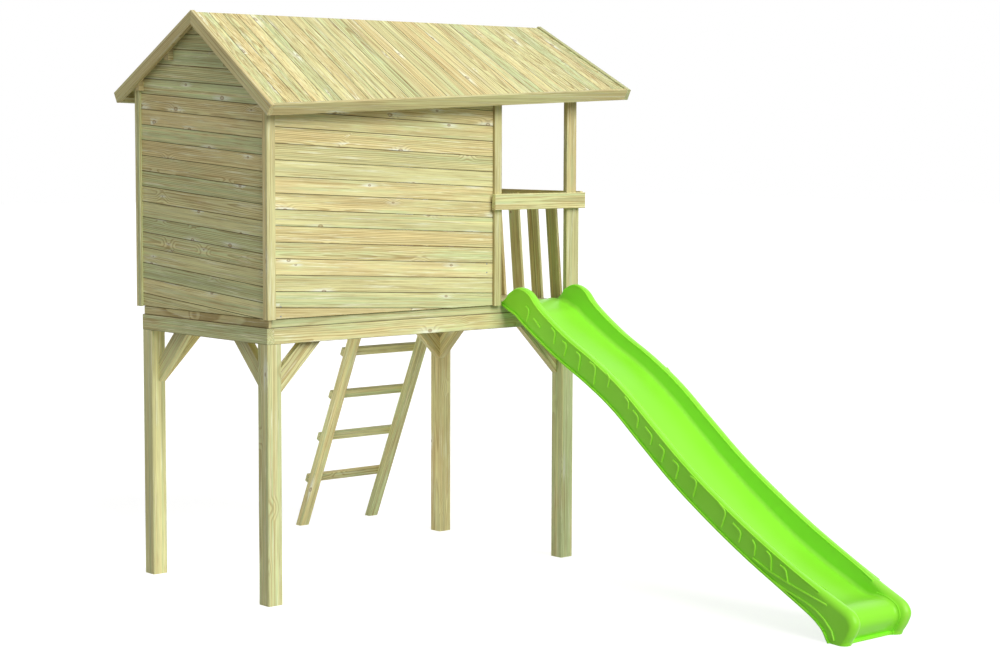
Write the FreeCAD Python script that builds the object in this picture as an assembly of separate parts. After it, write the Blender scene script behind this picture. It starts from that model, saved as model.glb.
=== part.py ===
import FreeCAD, Part
import math
import os

from FreeCAD import Vector

# Stilt playhouse in millimetres. +Z is up, +X runs along the platform to the terrace end and
# the slide runs down towards -Y. The origin is the centre of the front left leg's foot, where
# such a tower is set out. The pieces are built about the platform's centre and then moved there.

# Clearances shared by all pieces
SEAT_GAP = 0.3
BOARD_GAP = 0.6
OVERRUN = 400.0

# Sawn timber
EDGE_EASE = 2.0
LONG_EDGE_SHARE = 0.5

# Bolts
BOLT_RADIUS = 4.0
BOLT_FACETS = 8
HEXAGON_SIDES = 6
BOLT_HEAD_RADIUS = 7.5
BOLT_HEAD_THICK = 5.3
BOLT_BITE = 14.0
BOLT_HOLE_CLEARANCE = 0.3
RIM_BOLT_INSET = 20.0

# Platform
PLATFORM_LENGTH = 2189.0
PLATFORM_DEPTH = 1215.0
LEG_SIDE = 90.0
LEG_HEIGHT = 1390.0
LEG_CHAMFER = 4.0
RIM_THICK = 45.0
RIM_HEIGHT = 87.0
JOIST_THICK = 45.0
JOIST_COUNT = 3
BATTEN_WIDTH = 70.0
BATTEN_THICK = 17.0
DECK_THICK = 28.0
DECK_COVER = 90.0
DECK_GAP = 3.0
STRIP_THICK = 18.0
STRIP_INSET_ENDS = 11.0
STRIP_INSET_SIDES = 2.5
BRACE_THICK = 45.0
BRACE_WIDTH = 91.0
BRACE_DROP = 292.0
BRACE_ANGLE = 45.0

# Cabin
CABIN_LENGTH = 1580.0
CLADDING_THICK = 16.0
CLADDING_STAND_OFF = 13.0
CLADDING_COVER = 85.6
CLADDING_GROOVE = 2.5
CLADDING_FLOOR_GAP = 4.0
FRAME_DEPTH = 34.0
STUD_WIDTH = 45.0
LONG_WALL_SLANT = 2.88
GABLE_WALL_SLANT = 3.65
LONG_WALL_FIRST_JOINT = 64.5
GABLE_WALL_FIRST_JOINT = 83.6
TRIM_THICK = 18.0
LONG_TRIM_WIDTH = 54.0
GABLE_TRIM_WIDTH = 26.0
DOOR_WIDTH = 600.0
DOOR_HEIGHT = 1050.0
STUD_SPACING = 500.0

# Roof. Each corner has its own slope, so both roof faces are slightly twisted
RIDGE_HEIGHT = 3148.0
ROOF_OVERHANG_LEFT = 60.0
ROOF_OVERHANG_RIGHT = 280.0
ROOF_LENGTH = ROOF_OVERHANG_LEFT + PLATFORM_LENGTH + ROOF_OVERHANG_RIGHT
SLOPE_FRONT_LEFT = 34.7
SLOPE_BACK_LEFT = 28.6
SLOPE_FRONT_RIGHT = 26.65
SLOPE_BACK_RIGHT = 34.7
RAKE_LENGTH_LEFT = 898.0
RAKE_LENGTH_RIGHT = 880.0
BARGE_DEPTH = 65.0
BARGE_THICK = 28.0
BARGE_STAND = 8.0
ROOF_BOARD_THICK = 18.0
ROOF_BOARD_COVER = 88.0
ROOF_BOARD_GROOVE = 2.0
FASCIA_THICK = 18.0
EAVE_GAP_LEFT = 6.0
EAVE_GAP_RIGHT = 1.0
EAVE_BATTEN = 34.0
PLATE_DEPTH = 60.0
PURLIN_THICK = 45.0
PURLIN_DEPTH = 60.0
PURLIN_REACH = 310.0
RIDGE_BEAM_DEPTH = 75.0

# Terrace
POST_THICK = 31.0
LOWER_POST_WIDTH = 96.0
UPPER_POST_WIDTH = 75.0
POST_OUTSTAND = 7.0
POST_STEP = 1.0
CROSSBAR_HEIGHT = 91.0
CROSSBAR_THICK = 28.0
CROSSBAR_RISE = 544.0
CROSSBAR_OVERLAP = 73.0
CROSSBAR_END = 31.0
SLAT_COUNT = 6
SLAT_PITCH = 166.6
SLAT_WIDTH = 88.0
SLAT_THICK = 18.0
SLAT_LEAN = 5.5
SLAT_FOOT_RISE = 10.0
SLAT_FIRST_FOOT = 146.0
END_RAIL_HEIGHT = 90.0
END_RAIL_THICK = 18.0
END_RAIL_RISE = 551.0
SLAT_TOP_DROP = 20.0

# Ladder
LADDER_RAIL_WIDTH = 68.0
LADDER_RAIL_THICK = 45.0
LADDER_CENTRE = 765.5
LADDER_WIDTH = 624.0
LADDER_FOOT_REACH = 640.0
LADDER_SEAT_HEIGHT = 1430.0
RUNG_COUNT = 5
RUNG_FIRST = 312.0
RUNG_PITCH = 277.5
RUNG_HEIGHT = 52.0
RUNG_THICK = 28.0

# Slide
SLIDE_WIDTH = 470.0
SLIDE_REACH = 2622.0
SLIDE_WALL = 5.0
SLIDE_RIM_WIDTH = 45.0
SLIDE_RIM_ROUND = 22.0
SLIDE_FLANGE = 9.0
SLIDE_FLANGE_HEIGHT = 8.0
SLIDE_DRAFT = 5.0
SLIDE_FLOOR_FILLET = 40.0
SLIDE_ROUND_SHARE = 0.5
SLIDE_FILLET_SHARE = 0.4
SLIDE_DRAFT_SHARE = 0.1
SLIDE_FLANGE_SHARE = 0.25
RIM_FACETS = 6
FILLET_FACETS = 3
UNDER_FACETS = 2
SLIDE_LIP_HEIGHT = 18.0
SLIDE_LIP_LENGTH = 60.0
SLIDE_LIP_DEPTH = 4.0

# Slide stations from the crest to the ground, as shares chosen by hand. Each row gives the rim's
# run and height and the lower flange's run and height, as shares of the reach out from the
# platform and of the height of the lip, and the trough's depth as a share of the slide's width.
SLIDE_STATION_SHARES = (
    (0.0076, 1.0040, 0.0076, 0.9865, 0.017),
    (0.0305, 1.0396, 0.0275, 0.9694, 0.153),
    (0.0591, 1.0590, 0.0488, 0.9542, 0.260),
    (0.0915, 1.0421, 0.0679, 0.9299, 0.268),
    (0.1278, 0.9856, 0.0961, 0.8980, 0.217),
    (0.2059, 0.9001, 0.1777, 0.8152, 0.185),
    (0.2975, 0.8201, 0.2700, 0.7365, 0.177),
    (0.3814, 0.7335, 0.3509, 0.6556, 0.191),
    (0.4691, 0.6203, 0.4348, 0.5469, 0.198),
    (0.5568, 0.5083, 0.5248, 0.4317, 0.202),
    (0.6522, 0.4031, 0.6217, 0.3252, 0.219),
    (0.7475, 0.3088, 0.7208, 0.2271, 0.234),
    (0.8391, 0.2282, 0.8143, 0.1446, 0.215),
    (0.9153, 0.1660, 0.8867, 0.0811, 0.136),
    (0.9611, 0.1319, 0.9134, 0.0504, 0.070),
    (0.9916, 0.0922, 0.9275, 0.0260, 0.085),
    (1.0000, 0.0261, 0.9352, -0.0024, 0.120),
    (0.9977, -0.0194, 0.9375, -0.0218, 0.120),
)
SLIDE_STEPS = 2

# Places that several pieces share
half_length = PLATFORM_LENGTH / 2
half_depth = PLATFORM_DEPTH / 2
rim_top = LEG_HEIGHT + RIM_HEIGHT
floor_top = rim_top + BATTEN_THICK + DECK_THICK
strip_end_inner = half_length - STRIP_INSET_ENDS - STRIP_THICK
strip_side_inner = half_depth - STRIP_INSET_SIDES - STRIP_THICK

cabin_left = -half_length
cabin_right = cabin_left + CABIN_LENGTH
wall_outer = half_depth + CLADDING_STAND_OFF
wall_inner = wall_outer - CLADDING_THICK
trim_outer = wall_outer + TRIM_THICK
frame_inner = wall_inner - FRAME_DEPTH
gable_left_inner = cabin_left + CLADDING_THICK
gable_right_inner = cabin_right - CLADDING_THICK
cladding_bottom = floor_top + CLADDING_FLOOR_GAP
door_top = floor_top + DOOR_HEIGHT

roof_left = cabin_left - ROOF_OVERHANG_LEFT
roof_right = roof_left + ROOF_LENGTH
boards_left = roof_left + BARGE_THICK
boards_right = roof_right - BARGE_THICK
board_underside = BARGE_STAND + ROOF_BOARD_THICK

post_right = half_length + POST_OUTSTAND
post_left = post_right - LOWER_POST_WIDTH
crossbar_bottom = floor_top + CROSSBAR_RISE
crossbar_top = crossbar_bottom + CROSSBAR_HEIGHT
post_joint = (crossbar_bottom + crossbar_top) / 2
crossbar_left = cabin_right + TRIM_THICK - CROSSBAR_OVERLAP
crossbar_right = half_length + CROSSBAR_END
end_rail_bottom = floor_top + END_RAIL_RISE
end_rail_inner = half_length + SLAT_THICK

bolt_height = LEG_HEIGHT + RIM_HEIGHT / 2
post_bolt_height = (rim_top + floor_top) / 2
slide_centre = (cabin_right + TRIM_THICK + post_left) / 2
slide_entry = floor_top + SLIDE_LIP_HEIGHT
ladder_lean = math.atan(LADDER_FOOT_REACH / LADDER_SEAT_HEIGHT)

LEFT = "left"
RIGHT = "right"
FRONT = -1
BACK = 1
RAKE_SLOPES = {
    (LEFT, FRONT): SLOPE_FRONT_LEFT,
    (LEFT, BACK): SLOPE_BACK_LEFT,
    (RIGHT, FRONT): SLOPE_FRONT_RIGHT,
    (RIGHT, BACK): SLOPE_BACK_RIGHT,
}
RAKE_LENGTHS = {LEFT: RAKE_LENGTH_LEFT, RIGHT: RAKE_LENGTH_RIGHT}
EAVE_GAPS = {LEFT: EAVE_GAP_LEFT, RIGHT: EAVE_GAP_RIGHT}


# Shape helpers
def block(x_range, y_range, z_range):
    corner = Vector(min(x_range), min(y_range), min(z_range))
    size = [abs(pair[1] - pair[0]) for pair in (x_range, y_range, z_range)]
    return Part.makeBox(size[0], size[1], size[2], corner)


def polygon(points):
    return Part.makePolygon(list(points) + [points[0]])


def prism(points, sweep):
    return Part.Face(polygon(points)).extrude(sweep)


def eased(timber):
    """The timber with its long edges broken."""
    longest = max(edge.Length for edge in timber.Edges)
    edges = [edge for edge in timber.Edges if edge.Length > longest * LONG_EDGE_SHARE]
    return timber.makeChamfer(EDGE_EASE, edges)


def rod(start, direction, radius, length, facets):
    """A many-sided rod along one of the axes."""
    side = Vector(direction.y, direction.z, direction.x)
    other = direction.cross(side)
    turns = [2 * math.pi * index / facets for index in range(facets)]
    corners = [start + (side * math.cos(turn) + other * math.sin(turn)) * radius for turn in turns]
    return prism(corners, direction * length)


def group(solids):
    pieces = []
    for solid in solids:
        pieces.extend(solid.Solids)
    return Part.makeCompound(pieces)


def mix(first, second, share):
    return first + (second - first) * share


def save(name, solids):
    piece = group(solids)
    piece.translate(Vector(half_length - LEG_SIDE / 2, half_depth - LEG_SIDE / 2, 0))
    piece.exportStep("parts/" + name + ".step")


# Bolts. A place is the middle of the seat under the head and the direction in which the bolt runs
def bolts(places, thick):
    """Hexagon bolts through a timber of the stated thickness into the one behind it."""
    pieces = []
    for seat, direction in places:
        top = seat - direction * BOLT_HEAD_THICK
        head = rod(top, direction, BOLT_HEAD_RADIUS, BOLT_HEAD_THICK, HEXAGON_SIDES)
        pieces.append(head.fuse(rod(seat, direction, BOLT_RADIUS, thick + BOLT_BITE, BOLT_FACETS)))
    return pieces


def bolt_holes(places, thick):
    radius = BOLT_RADIUS + BOLT_HOLE_CLEARANCE
    length = thick + BOLT_BITE + BOLT_HOLE_CLEARANCE
    return group([rod(seat, direction, radius, length, BOLT_FACETS) for seat, direction in places])


def brace_bolt_places():
    """Two bolts at each corner, one through each brace's upper end, their heads inside the rims."""
    inner = RIM_THICK + BRACE_THICK
    low_run, high_run = (corner[0] for corner in brace_outline()[1:3])
    run = (low_run + high_run) / 2 - (rim_top - bolt_height) / math.tan(math.radians(BRACE_ANGLE))
    places = []
    for x_side in (-1, 1):
        for y_side in (FRONT, BACK):
            on_long_rim = Vector(x_side * (half_length - run), y_side * (half_depth - inner), bolt_height)
            on_end_rim = Vector(x_side * (half_length - inner), y_side * (half_depth - run), bolt_height)
            places.append((on_long_rim, Vector(0, y_side, 0)))
            places.append((on_end_rim, Vector(x_side, 0, 0)))
    return places


def rim_bolt_places():
    """Bolts from inside the rims into the ladder's rails and the foot of the front post."""
    inner = half_depth - RIM_THICK
    ladder_inner = LADDER_CENTRE - LADDER_WIDTH / 2 + LADDER_RAIL_WIDTH
    post_bolt = half_length - RIM_THICK - RIM_BOLT_INSET
    seat_height = (LADDER_SEAT_HEIGHT + rim_top) / 2
    return [
        (Vector(ladder_inner - RIM_BOLT_INSET, inner, seat_height), Vector(0, 1, 0)),
        (Vector(2 * LADDER_CENTRE - ladder_inner + RIM_BOLT_INSET, inner, seat_height), Vector(0, 1, 0)),
        (Vector(post_bolt, -inner, bolt_height), Vector(0, -1, 0)),
    ]


def post_bolt_places():
    """Two bolts from behind the front post into the crossbar, and one through the back post's foot."""
    front_inner = post_span(FRONT)[0]
    back_outer = post_span(BACK)[1]
    step = CROSSBAR_HEIGHT / 4
    upper_centre = post_left - POST_STEP + UPPER_POST_WIDTH / 2
    return [
        (Vector(upper_centre, front_inner, post_joint - step), Vector(0, -1, 0)),
        (Vector(upper_centre, front_inner, post_joint + step), Vector(0, -1, 0)),
        (Vector(upper_centre, back_outer, post_bolt_height), Vector(0, -1, 0)),
    ]


# Platform
def leg(x_side, y_side):
    x_outer = x_side * half_length
    y_outer = y_side * half_depth
    x_range = (x_outer, x_outer - x_side * LEG_SIDE)
    post = block(x_range, (y_outer, y_outer - y_side * LEG_SIDE), (0, LEG_HEIGHT))
    upright = [edge for edge in post.Edges if edge.BoundBox.ZLength > LEG_SIDE]
    return post.makeChamfer(LEG_CHAMFER, upright)


def end_rim(x_side):
    x_outer = x_side * half_length
    x_range = (x_outer, x_outer - x_side * RIM_THICK)
    return eased(block(x_range, (-half_depth, half_depth), (LEG_HEIGHT, rim_top)))


def long_rim(y_side):
    y_outer = y_side * half_depth
    reach = half_length - RIM_THICK
    y_range = (y_outer, y_outer - y_side * RIM_THICK)
    return eased(block((-reach, reach), y_range, (LEG_HEIGHT, rim_top)))


def joist_places():
    step = PLATFORM_LENGTH / (JOIST_COUNT + 1)
    return [-half_length + step * (index + 1) for index in range(JOIST_COUNT)]


def floor_joists():
    reach = half_depth - RIM_THICK
    return [
        block((x - JOIST_THICK / 2, x + JOIST_THICK / 2), (-reach, reach), (LEG_HEIGHT, rim_top))
        for x in joist_places()
    ]


def floor_battens():
    end_centre = strip_end_inner - BATTEN_WIDTH / 2
    places = [-end_centre] + joist_places() + [end_centre]
    return [
        block(
            (x - BATTEN_WIDTH / 2, x + BATTEN_WIDTH / 2),
            (-strip_side_inner, strip_side_inner),
            (rim_top, rim_top + BATTEN_THICK),
        )
        for x in places
    ]


def deck_boards():
    span = 2 * strip_side_inner
    count = round(span / DECK_COVER)
    cover = span / count
    return [
        block(
            (-strip_end_inner, strip_end_inner),
            (-strip_side_inner + cover * index, -strip_side_inner + cover * (index + 1) - DECK_GAP),
            (floor_top - DECK_THICK, floor_top),
        )
        for index in range(count)
    ]


def end_strips():
    reach = strip_side_inner + STRIP_THICK
    return [
        eased(block(
            (side * strip_end_inner, side * (strip_end_inner + STRIP_THICK)),
            (-reach, reach),
            (rim_top, floor_top),
        ))
        for side in (-1, 1)
    ]


def long_strips():
    return group([
        eased(block(
            (-strip_end_inner, strip_end_inner),
            (side * strip_side_inner, side * (strip_side_inner + STRIP_THICK)),
            (rim_top, floor_top),
        ))
        for side in (-1, 1)
    ])


def brace_outline():
    """Corners as distance in from the leg's outer face and height."""
    rise = math.tan(math.radians(BRACE_ANGLE))
    edge_step = BRACE_WIDTH / math.cos(math.radians(BRACE_ANGLE))
    foot = LEG_HEIGHT - BRACE_DROP
    low_end = LEG_SIDE + (rim_top - foot) / rise
    high_end = LEG_SIDE + (rim_top - foot - edge_step) / rise
    return ((LEG_SIDE, foot), (low_end, rim_top), (high_end, rim_top), (LEG_SIDE, foot + edge_step))


def long_braces(y_side):
    y = y_side * (half_depth - RIM_THICK)
    sweep = Vector(0, -y_side * BRACE_THICK, 0)
    braces = []
    for x_side in (-1, 1):
        outline = [Vector(x_side * (half_length - run), y, height) for run, height in brace_outline()]
        braces.append(eased(prism(outline, sweep)))
    return group(braces)


def end_braces(x_side):
    x = x_side * (half_length - RIM_THICK)
    sweep = Vector(-x_side * BRACE_THICK, 0, 0)
    braces = []
    for y_side in (-1, 1):
        outline = [Vector(x, y_side * (half_depth - run), height) for run, height in brace_outline()]
        braces.append(eased(prism(outline, sweep)))
    return group(braces)


# Roof space. A rake point lies along the slope from the ridge and a drop below the barge's top
def rake_point(end, side, along, drop):
    slope = math.radians(RAKE_SLOPES[end, side])
    reach = along * math.cos(slope) - drop * math.sin(slope)
    return side * reach, RIDGE_HEIGHT - along * math.sin(slope) - drop * math.cos(slope)


def ridge_point(end, side, drop):
    return 0, RIDGE_HEIGHT - drop / math.cos(math.radians(RAKE_SLOPES[end, side]))


def roof_section(corners_left, corners_right, x):
    share = (x - boards_left) / (boards_right - boards_left)
    return polygon([
        Vector(x, mix(left[0], right[0], share), mix(left[1], right[1], share))
        for left, right in zip(corners_left, corners_right)
    ])


def ruled_piece(corners_left, corners_right, x_start, x_end):
    sections = [roof_section(corners_left, corners_right, x) for x in (x_start, x_end)]
    return Part.makeLoft(sections, True, True)


def under_roof_corners(end):
    drop = board_underside + SEAT_GAP
    apex = min(ridge_point(end, side, drop)[1] for side in (FRONT, BACK))
    front = rake_point(end, FRONT, RAKE_LENGTHS[end], drop)
    back = rake_point(end, BACK, RAKE_LENGTHS[end], drop)
    return (0, apex), front, (front[0], 0), (back[0], 0), back


def under_roof():
    """The whole space below the roof boards."""
    return ruled_piece(under_roof_corners(LEFT), under_roof_corners(RIGHT), boards_left, boards_right)


def height_under_roof(end, side, reach):
    slope = math.radians(RAKE_SLOPES[end, side])
    drop = board_underside + SEAT_GAP
    along = (reach + drop * math.sin(slope)) / math.cos(slope)
    return rake_point(end, side, along, drop)[1]


def roof_board_corners(end, side, groove):
    eave = RAKE_LENGTHS[end] - FASCIA_THICK - EAVE_GAPS[end]
    top = BARGE_STAND + groove
    ridge_top = ridge_point(end, side, top)
    ridge_low = ridge_point(end, side, board_underside)
    clear = side * BOARD_GAP
    return (
        (ridge_top[0] + clear, ridge_top[1]),
        rake_point(end, side, eave, top),
        rake_point(end, side, eave, board_underside),
        (ridge_low[0] + clear, ridge_low[1]),
    )


def roof_boards(side):
    span = boards_right - boards_left
    count = round(span / ROOF_BOARD_COVER)
    cover = span / count
    edge = [roof_board_corners(end, side, ROOF_BOARD_GROOVE) for end in (LEFT, RIGHT)]
    full = [roof_board_corners(end, side, 0) for end in (LEFT, RIGHT)]
    boards = []
    for index in range(count):
        start = boards_left + cover * index + BOARD_GAP / 2
        end = start + cover - BOARD_GAP
        sections = [
            roof_section(edge[0], edge[1], start),
            roof_section(full[0], full[1], start + ROOF_BOARD_GROOVE),
            roof_section(full[0], full[1], end - ROOF_BOARD_GROOVE),
            roof_section(edge[0], edge[1], end),
        ]
        boards.append(Part.makeLoft(sections, True, True))
    return boards


def barge_board(end, side):
    length = RAKE_LENGTHS[end]
    clear = side * BOARD_GAP / 2
    ridge_top = ridge_point(end, side, 0)
    ridge_low = ridge_point(end, side, BARGE_DEPTH)
    corners = (
        (ridge_top[0] + clear, ridge_top[1]),
        rake_point(end, side, length, 0),
        rake_point(end, side, length, BARGE_DEPTH),
        (ridge_low[0] + clear, ridge_low[1]),
    )
    x = roof_left if end == LEFT else boards_right
    return eased(prism([Vector(x, y, z) for y, z in corners], Vector(BARGE_THICK, 0, 0)))


def fascia_corners(end, side):
    length = RAKE_LENGTHS[end]
    return (
        rake_point(end, side, length - FASCIA_THICK, 0),
        rake_point(end, side, length, 0),
        rake_point(end, side, length, BARGE_DEPTH),
        rake_point(end, side, length - FASCIA_THICK, BARGE_DEPTH),
    )


def eave_batten_corners(end, side):
    outer = RAKE_LENGTHS[end] - FASCIA_THICK
    top = board_underside + SEAT_GAP
    return (
        rake_point(end, side, outer - EAVE_BATTEN, top),
        rake_point(end, side, outer, top),
        rake_point(end, side, outer, top + EAVE_BATTEN),
        rake_point(end, side, outer - EAVE_BATTEN, top + EAVE_BATTEN),
    )


def eave_piece(corners, side):
    return ruled_piece(corners(LEFT, side), corners(RIGHT, side), boards_left, boards_right)


def roof_timber(side, outer_reach, thick, depth, space):
    """Upright timber along the roof, its top planed to the slope."""
    bottoms = [height_under_roof(end, side, outer_reach) - depth for end in (LEFT, RIGHT)]
    y = side * outer_reach
    outline = [
        Vector(boards_left, y, bottoms[0]),
        Vector(boards_right, y, bottoms[1]),
        Vector(boards_right, y, bottoms[1] + OVERRUN),
        Vector(boards_left, y, bottoms[0] + OVERRUN),
    ]
    return prism(outline, Vector(0, -side * thick, 0)).common(space)


def ridge_beam(space):
    apexes = [under_roof_corners(end)[0][1] for end in (LEFT, RIGHT)]
    bottom = min(apexes) - RIDGE_BEAM_DEPTH
    half = PURLIN_THICK / 2
    return block((boards_left, boards_right), (-half, half), (bottom, bottom + OVERRUN)).common(space)


# Cabin walls
def slanted_board(start, run, normal, up, length):
    """One board with grooved outer edges. Start is its lower inner corner."""
    cover = CLADDING_COVER - BOARD_GAP
    face = CLADDING_THICK - CLADDING_GROOVE
    outline = (
        (0, 0),
        (face, 0),
        (CLADDING_THICK, CLADDING_GROOVE),
        (CLADDING_THICK, cover - CLADDING_GROOVE),
        (face, cover),
        (0, cover),
    )
    points = [start + normal * out + up * rise for out, rise in outline]
    return prism(points, run * length)


def slanted_boards(corner, along, normal, slant, first_joint, length, wall):
    """Boards of one wall. The corner is the wall's inner lower end where the joints are measured."""
    angle = math.radians(slant)
    upright = Vector(0, 0, 1)
    run = along * math.cos(angle) + upright * math.sin(angle)
    up = upright * math.cos(angle) - along * math.sin(angle)
    step = CLADDING_COVER / math.cos(angle)
    fall = abs(math.tan(angle)) * length
    lowest = first_joint - step * math.ceil((first_joint + fall) / step)
    count = math.ceil((wall.BoundBox.ZLength + fall - lowest) / step)
    boards = []
    for index in range(count):
        start = corner + upright * (lowest + step * index) - run * OVERRUN
        strip = slanted_board(start, run, normal, up, length + 2 * OVERRUN)
        boards.extend(strip.common(wall).Solids)
    return boards


def long_wall_boards(side, space):
    wall = block(
        (cabin_left, cabin_right), (side * wall_inner, side * wall_outer), (cladding_bottom, RIDGE_HEIGHT)
    ).common(space)
    # The joints fall to the right as each long wall is seen from outside
    near_end = cabin_left if side == FRONT else cabin_right
    corner = Vector(near_end, side * wall_inner, floor_top)
    along = Vector(-side, 0, 0)
    normal = Vector(0, side, 0)
    return slanted_boards(corner, along, normal, -LONG_WALL_SLANT, LONG_WALL_FIRST_JOINT, CABIN_LENGTH, wall)


def gable_wall_boards(x_side, space, timbers):
    x_inner = gable_left_inner if x_side < 0 else gable_right_inner
    x_outer = cabin_left if x_side < 0 else cabin_right
    wall = block((x_inner, x_outer), (-wall_inner, wall_inner), (cladding_bottom, RIDGE_HEIGHT)).common(space)
    wall = wall.cut(timbers)
    if x_side > 0:
        wall = wall.cut(doorway())
    corner = Vector(x_inner, x_side * wall_outer, floor_top)
    along = Vector(0, -x_side, 0)
    normal = Vector(x_side, 0, 0)
    width = 2 * wall_outer
    return slanted_boards(corner, along, normal, GABLE_WALL_SLANT, GABLE_WALL_FIRST_JOINT, width, wall)


def doorway():
    half = DOOR_WIDTH / 2
    return block(
        (gable_right_inner - OVERRUN, cabin_right + OVERRUN), (-half, half), (floor_top - OVERRUN, door_top)
    )


def even_places(start, end, spacing):
    count = max(1, round((end - start) / spacing))
    return [start + (end - start) * index / count for index in range(count + 1)]


def long_wall_frame(side, timbers):
    left = gable_left_inner + FRAME_DEPTH
    right = gable_right_inner - FRAME_DEPTH
    y_range = (side * wall_inner, side * frame_inner)
    sole_top = floor_top + STUD_WIDTH
    pieces = [block((left, right), y_range, (floor_top, sole_top))]
    plate_space = roof_space_below_plate(side)
    for x in even_places(left, right - STUD_WIDTH, STUD_SPACING):
        stud = block((x, x + STUD_WIDTH), y_range, (sole_top, RIDGE_HEIGHT))
        pieces.append(stud.common(plate_space).cut(timbers))
    return pieces


def roof_space_below_plate(side):
    """Space under the sloping lower edge of one wall plate."""
    bottoms = [height_under_roof(end, side, wall_inner) - PLATE_DEPTH - SEAT_GAP for end in (LEFT, RIGHT)]
    outline = [
        Vector(boards_left, 0, 0),
        Vector(boards_right, 0, 0),
        Vector(boards_right, 0, bottoms[1]),
        Vector(boards_left, 0, bottoms[0]),
    ]
    return prism(outline, Vector(0, side * (wall_outer + OVERRUN), 0))


def gable_frame(x_side, space, timbers):
    x_outer = gable_left_inner if x_side < 0 else gable_right_inner
    x_range = (x_outer, x_outer - x_side * FRAME_DEPTH)
    sole_top = floor_top + STUD_WIDTH
    tie_bottom = door_top
    tie_top = tie_bottom + STUD_WIDTH
    door_half = DOOR_WIDTH / 2
    corner_y = wall_inner - STUD_WIDTH
    pieces = []
    for side in (FRONT, BACK):
        corner = block(x_range, (side * wall_inner, side * corner_y), (sole_top, RIDGE_HEIGHT))
        pieces.append(corner.common(space).cut(timbers))
        jamb_y = (side * door_half, side * (door_half + STUD_WIDTH))
        pieces.append(block(x_range, jamb_y, (sole_top, tie_bottom)))
        king = block(x_range, jamb_y, (tie_top, RIDGE_HEIGHT)).common(space)
        pieces.extend(king.cut(timbers).Solids[:1])
    pieces.append(block(x_range, (-corner_y, corner_y), (tie_bottom, tie_top)))
    if x_side < 0:
        pieces.append(block(x_range, (-wall_inner, wall_inner), (floor_top, sole_top)))
    else:
        for side in (FRONT, BACK):
            pieces.append(block(x_range, (side * door_half, side * wall_inner), (floor_top, sole_top)))
    return pieces


def long_trims(side, space):
    left = cabin_left - TRIM_THICK
    right = cabin_right + TRIM_THICK
    y_range = (side * wall_outer, side * trim_outer)
    spans = ((left, left + LONG_TRIM_WIDTH), (right - LONG_TRIM_WIDTH, right))
    return [eased(block(span, y_range, (floor_top, RIDGE_HEIGHT)).common(space)) for span in spans]


def gable_trims(x_side, space, timbers):
    x_face = cabin_left if x_side < 0 else cabin_right
    x_range = (x_face, x_face + x_side * TRIM_THICK)
    trims = []
    for side in (FRONT, BACK):
        y_range = (side * wall_outer, side * (wall_outer - GABLE_TRIM_WIDTH))
        trim = block(x_range, y_range, (floor_top, RIDGE_HEIGHT)).common(space)
        trims.append(eased(trim.cut(timbers)))
    return trims


# Terrace
def post_span(side):
    """The front posts lap over the rim. The back ones stand above the ladder, against the floor strip."""
    inner = half_depth if side == FRONT else half_depth - STRIP_INSET_SIDES
    return side * inner, side * (inner + POST_THICK)


def lower_post(side):
    foot = LEG_HEIGHT if side == FRONT else rim_top + SEAT_GAP
    return eased(block((post_left, post_right), post_span(side), (foot, post_joint)))


def upper_post(side, space):
    left = post_left - POST_STEP
    post = block((left, left + UPPER_POST_WIDTH), post_span(side), (post_joint, RIDGE_HEIGHT))
    return eased(post.common(space))


def crossbar():
    y_back = half_depth + POST_THICK
    y_range = (-y_back, -y_back - CROSSBAR_THICK)
    return eased(block((crossbar_left, crossbar_right), y_range, (crossbar_bottom, crossbar_top)))


def end_rail():
    reach = half_depth + POST_THICK
    return eased(block(
        (end_rail_inner, end_rail_inner + END_RAIL_THICK),
        (-reach, reach),
        (end_rail_bottom, end_rail_bottom + END_RAIL_HEIGHT),
    ))


def end_slats():
    lean = math.radians(SLAT_LEAN)
    bottom = LEG_HEIGHT + SLAT_FOOT_RISE
    top = end_rail_bottom + END_RAIL_HEIGHT - SLAT_TOP_DROP
    shift = (top - bottom) * math.tan(lean)
    level_width = SLAT_WIDTH / math.cos(lean)
    slats = []
    for index in range(SLAT_COUNT):
        foot = -half_depth + SLAT_FIRST_FOOT + SLAT_PITCH * index - level_width / 2
        outline = [
            Vector(half_length, foot, bottom),
            Vector(half_length, foot + level_width, bottom),
            Vector(half_length, foot + level_width + shift, top),
            Vector(half_length, foot + shift, top),
        ]
        slats.append(eased(prism(outline, Vector(SLAT_THICK, 0, 0))))
    return slats


# Ladder
def ladder_face(height):
    """How far the rails' front face stands out from the centre at a height."""
    return half_depth + LADDER_FOOT_REACH - height * math.tan(ladder_lean)


def ladder_rail(x_side):
    outer = LADDER_CENTRE + x_side * LADDER_WIDTH / 2
    level_thick = LADDER_RAIL_THICK / math.cos(ladder_lean)
    outline = [
        Vector(outer, ladder_face(0), 0),
        Vector(outer, ladder_face(0) + level_thick, 0),
        Vector(outer, ladder_face(rim_top) + level_thick, rim_top),
        Vector(outer, half_depth, rim_top),
        Vector(outer, half_depth, LADDER_SEAT_HEIGHT),
    ]
    return eased(prism(outline, Vector(-x_side * LADDER_RAIL_WIDTH, 0, 0)))


def ladder_rungs():
    upward = Vector(0, -math.sin(ladder_lean), math.cos(ladder_lean))
    outward = Vector(0, math.cos(ladder_lean), math.sin(ladder_lean))
    left = LADDER_CENTRE - LADDER_WIDTH / 2
    rungs = []
    for index in range(RUNG_COUNT):
        height = RUNG_FIRST + RUNG_PITCH * index
        back = ladder_face(height) + LADDER_RAIL_THICK / math.cos(ladder_lean)
        centre = Vector(left, back, height)
        low = centre - upward * (RUNG_HEIGHT / 2)
        high = centre + upward * (RUNG_HEIGHT / 2)
        outline = [low, high, high + outward * RUNG_THICK, low + outward * RUNG_THICK]
        rungs.append(eased(prism(outline, Vector(LADDER_WIDTH, 0, 0))))
    return rungs


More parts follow.
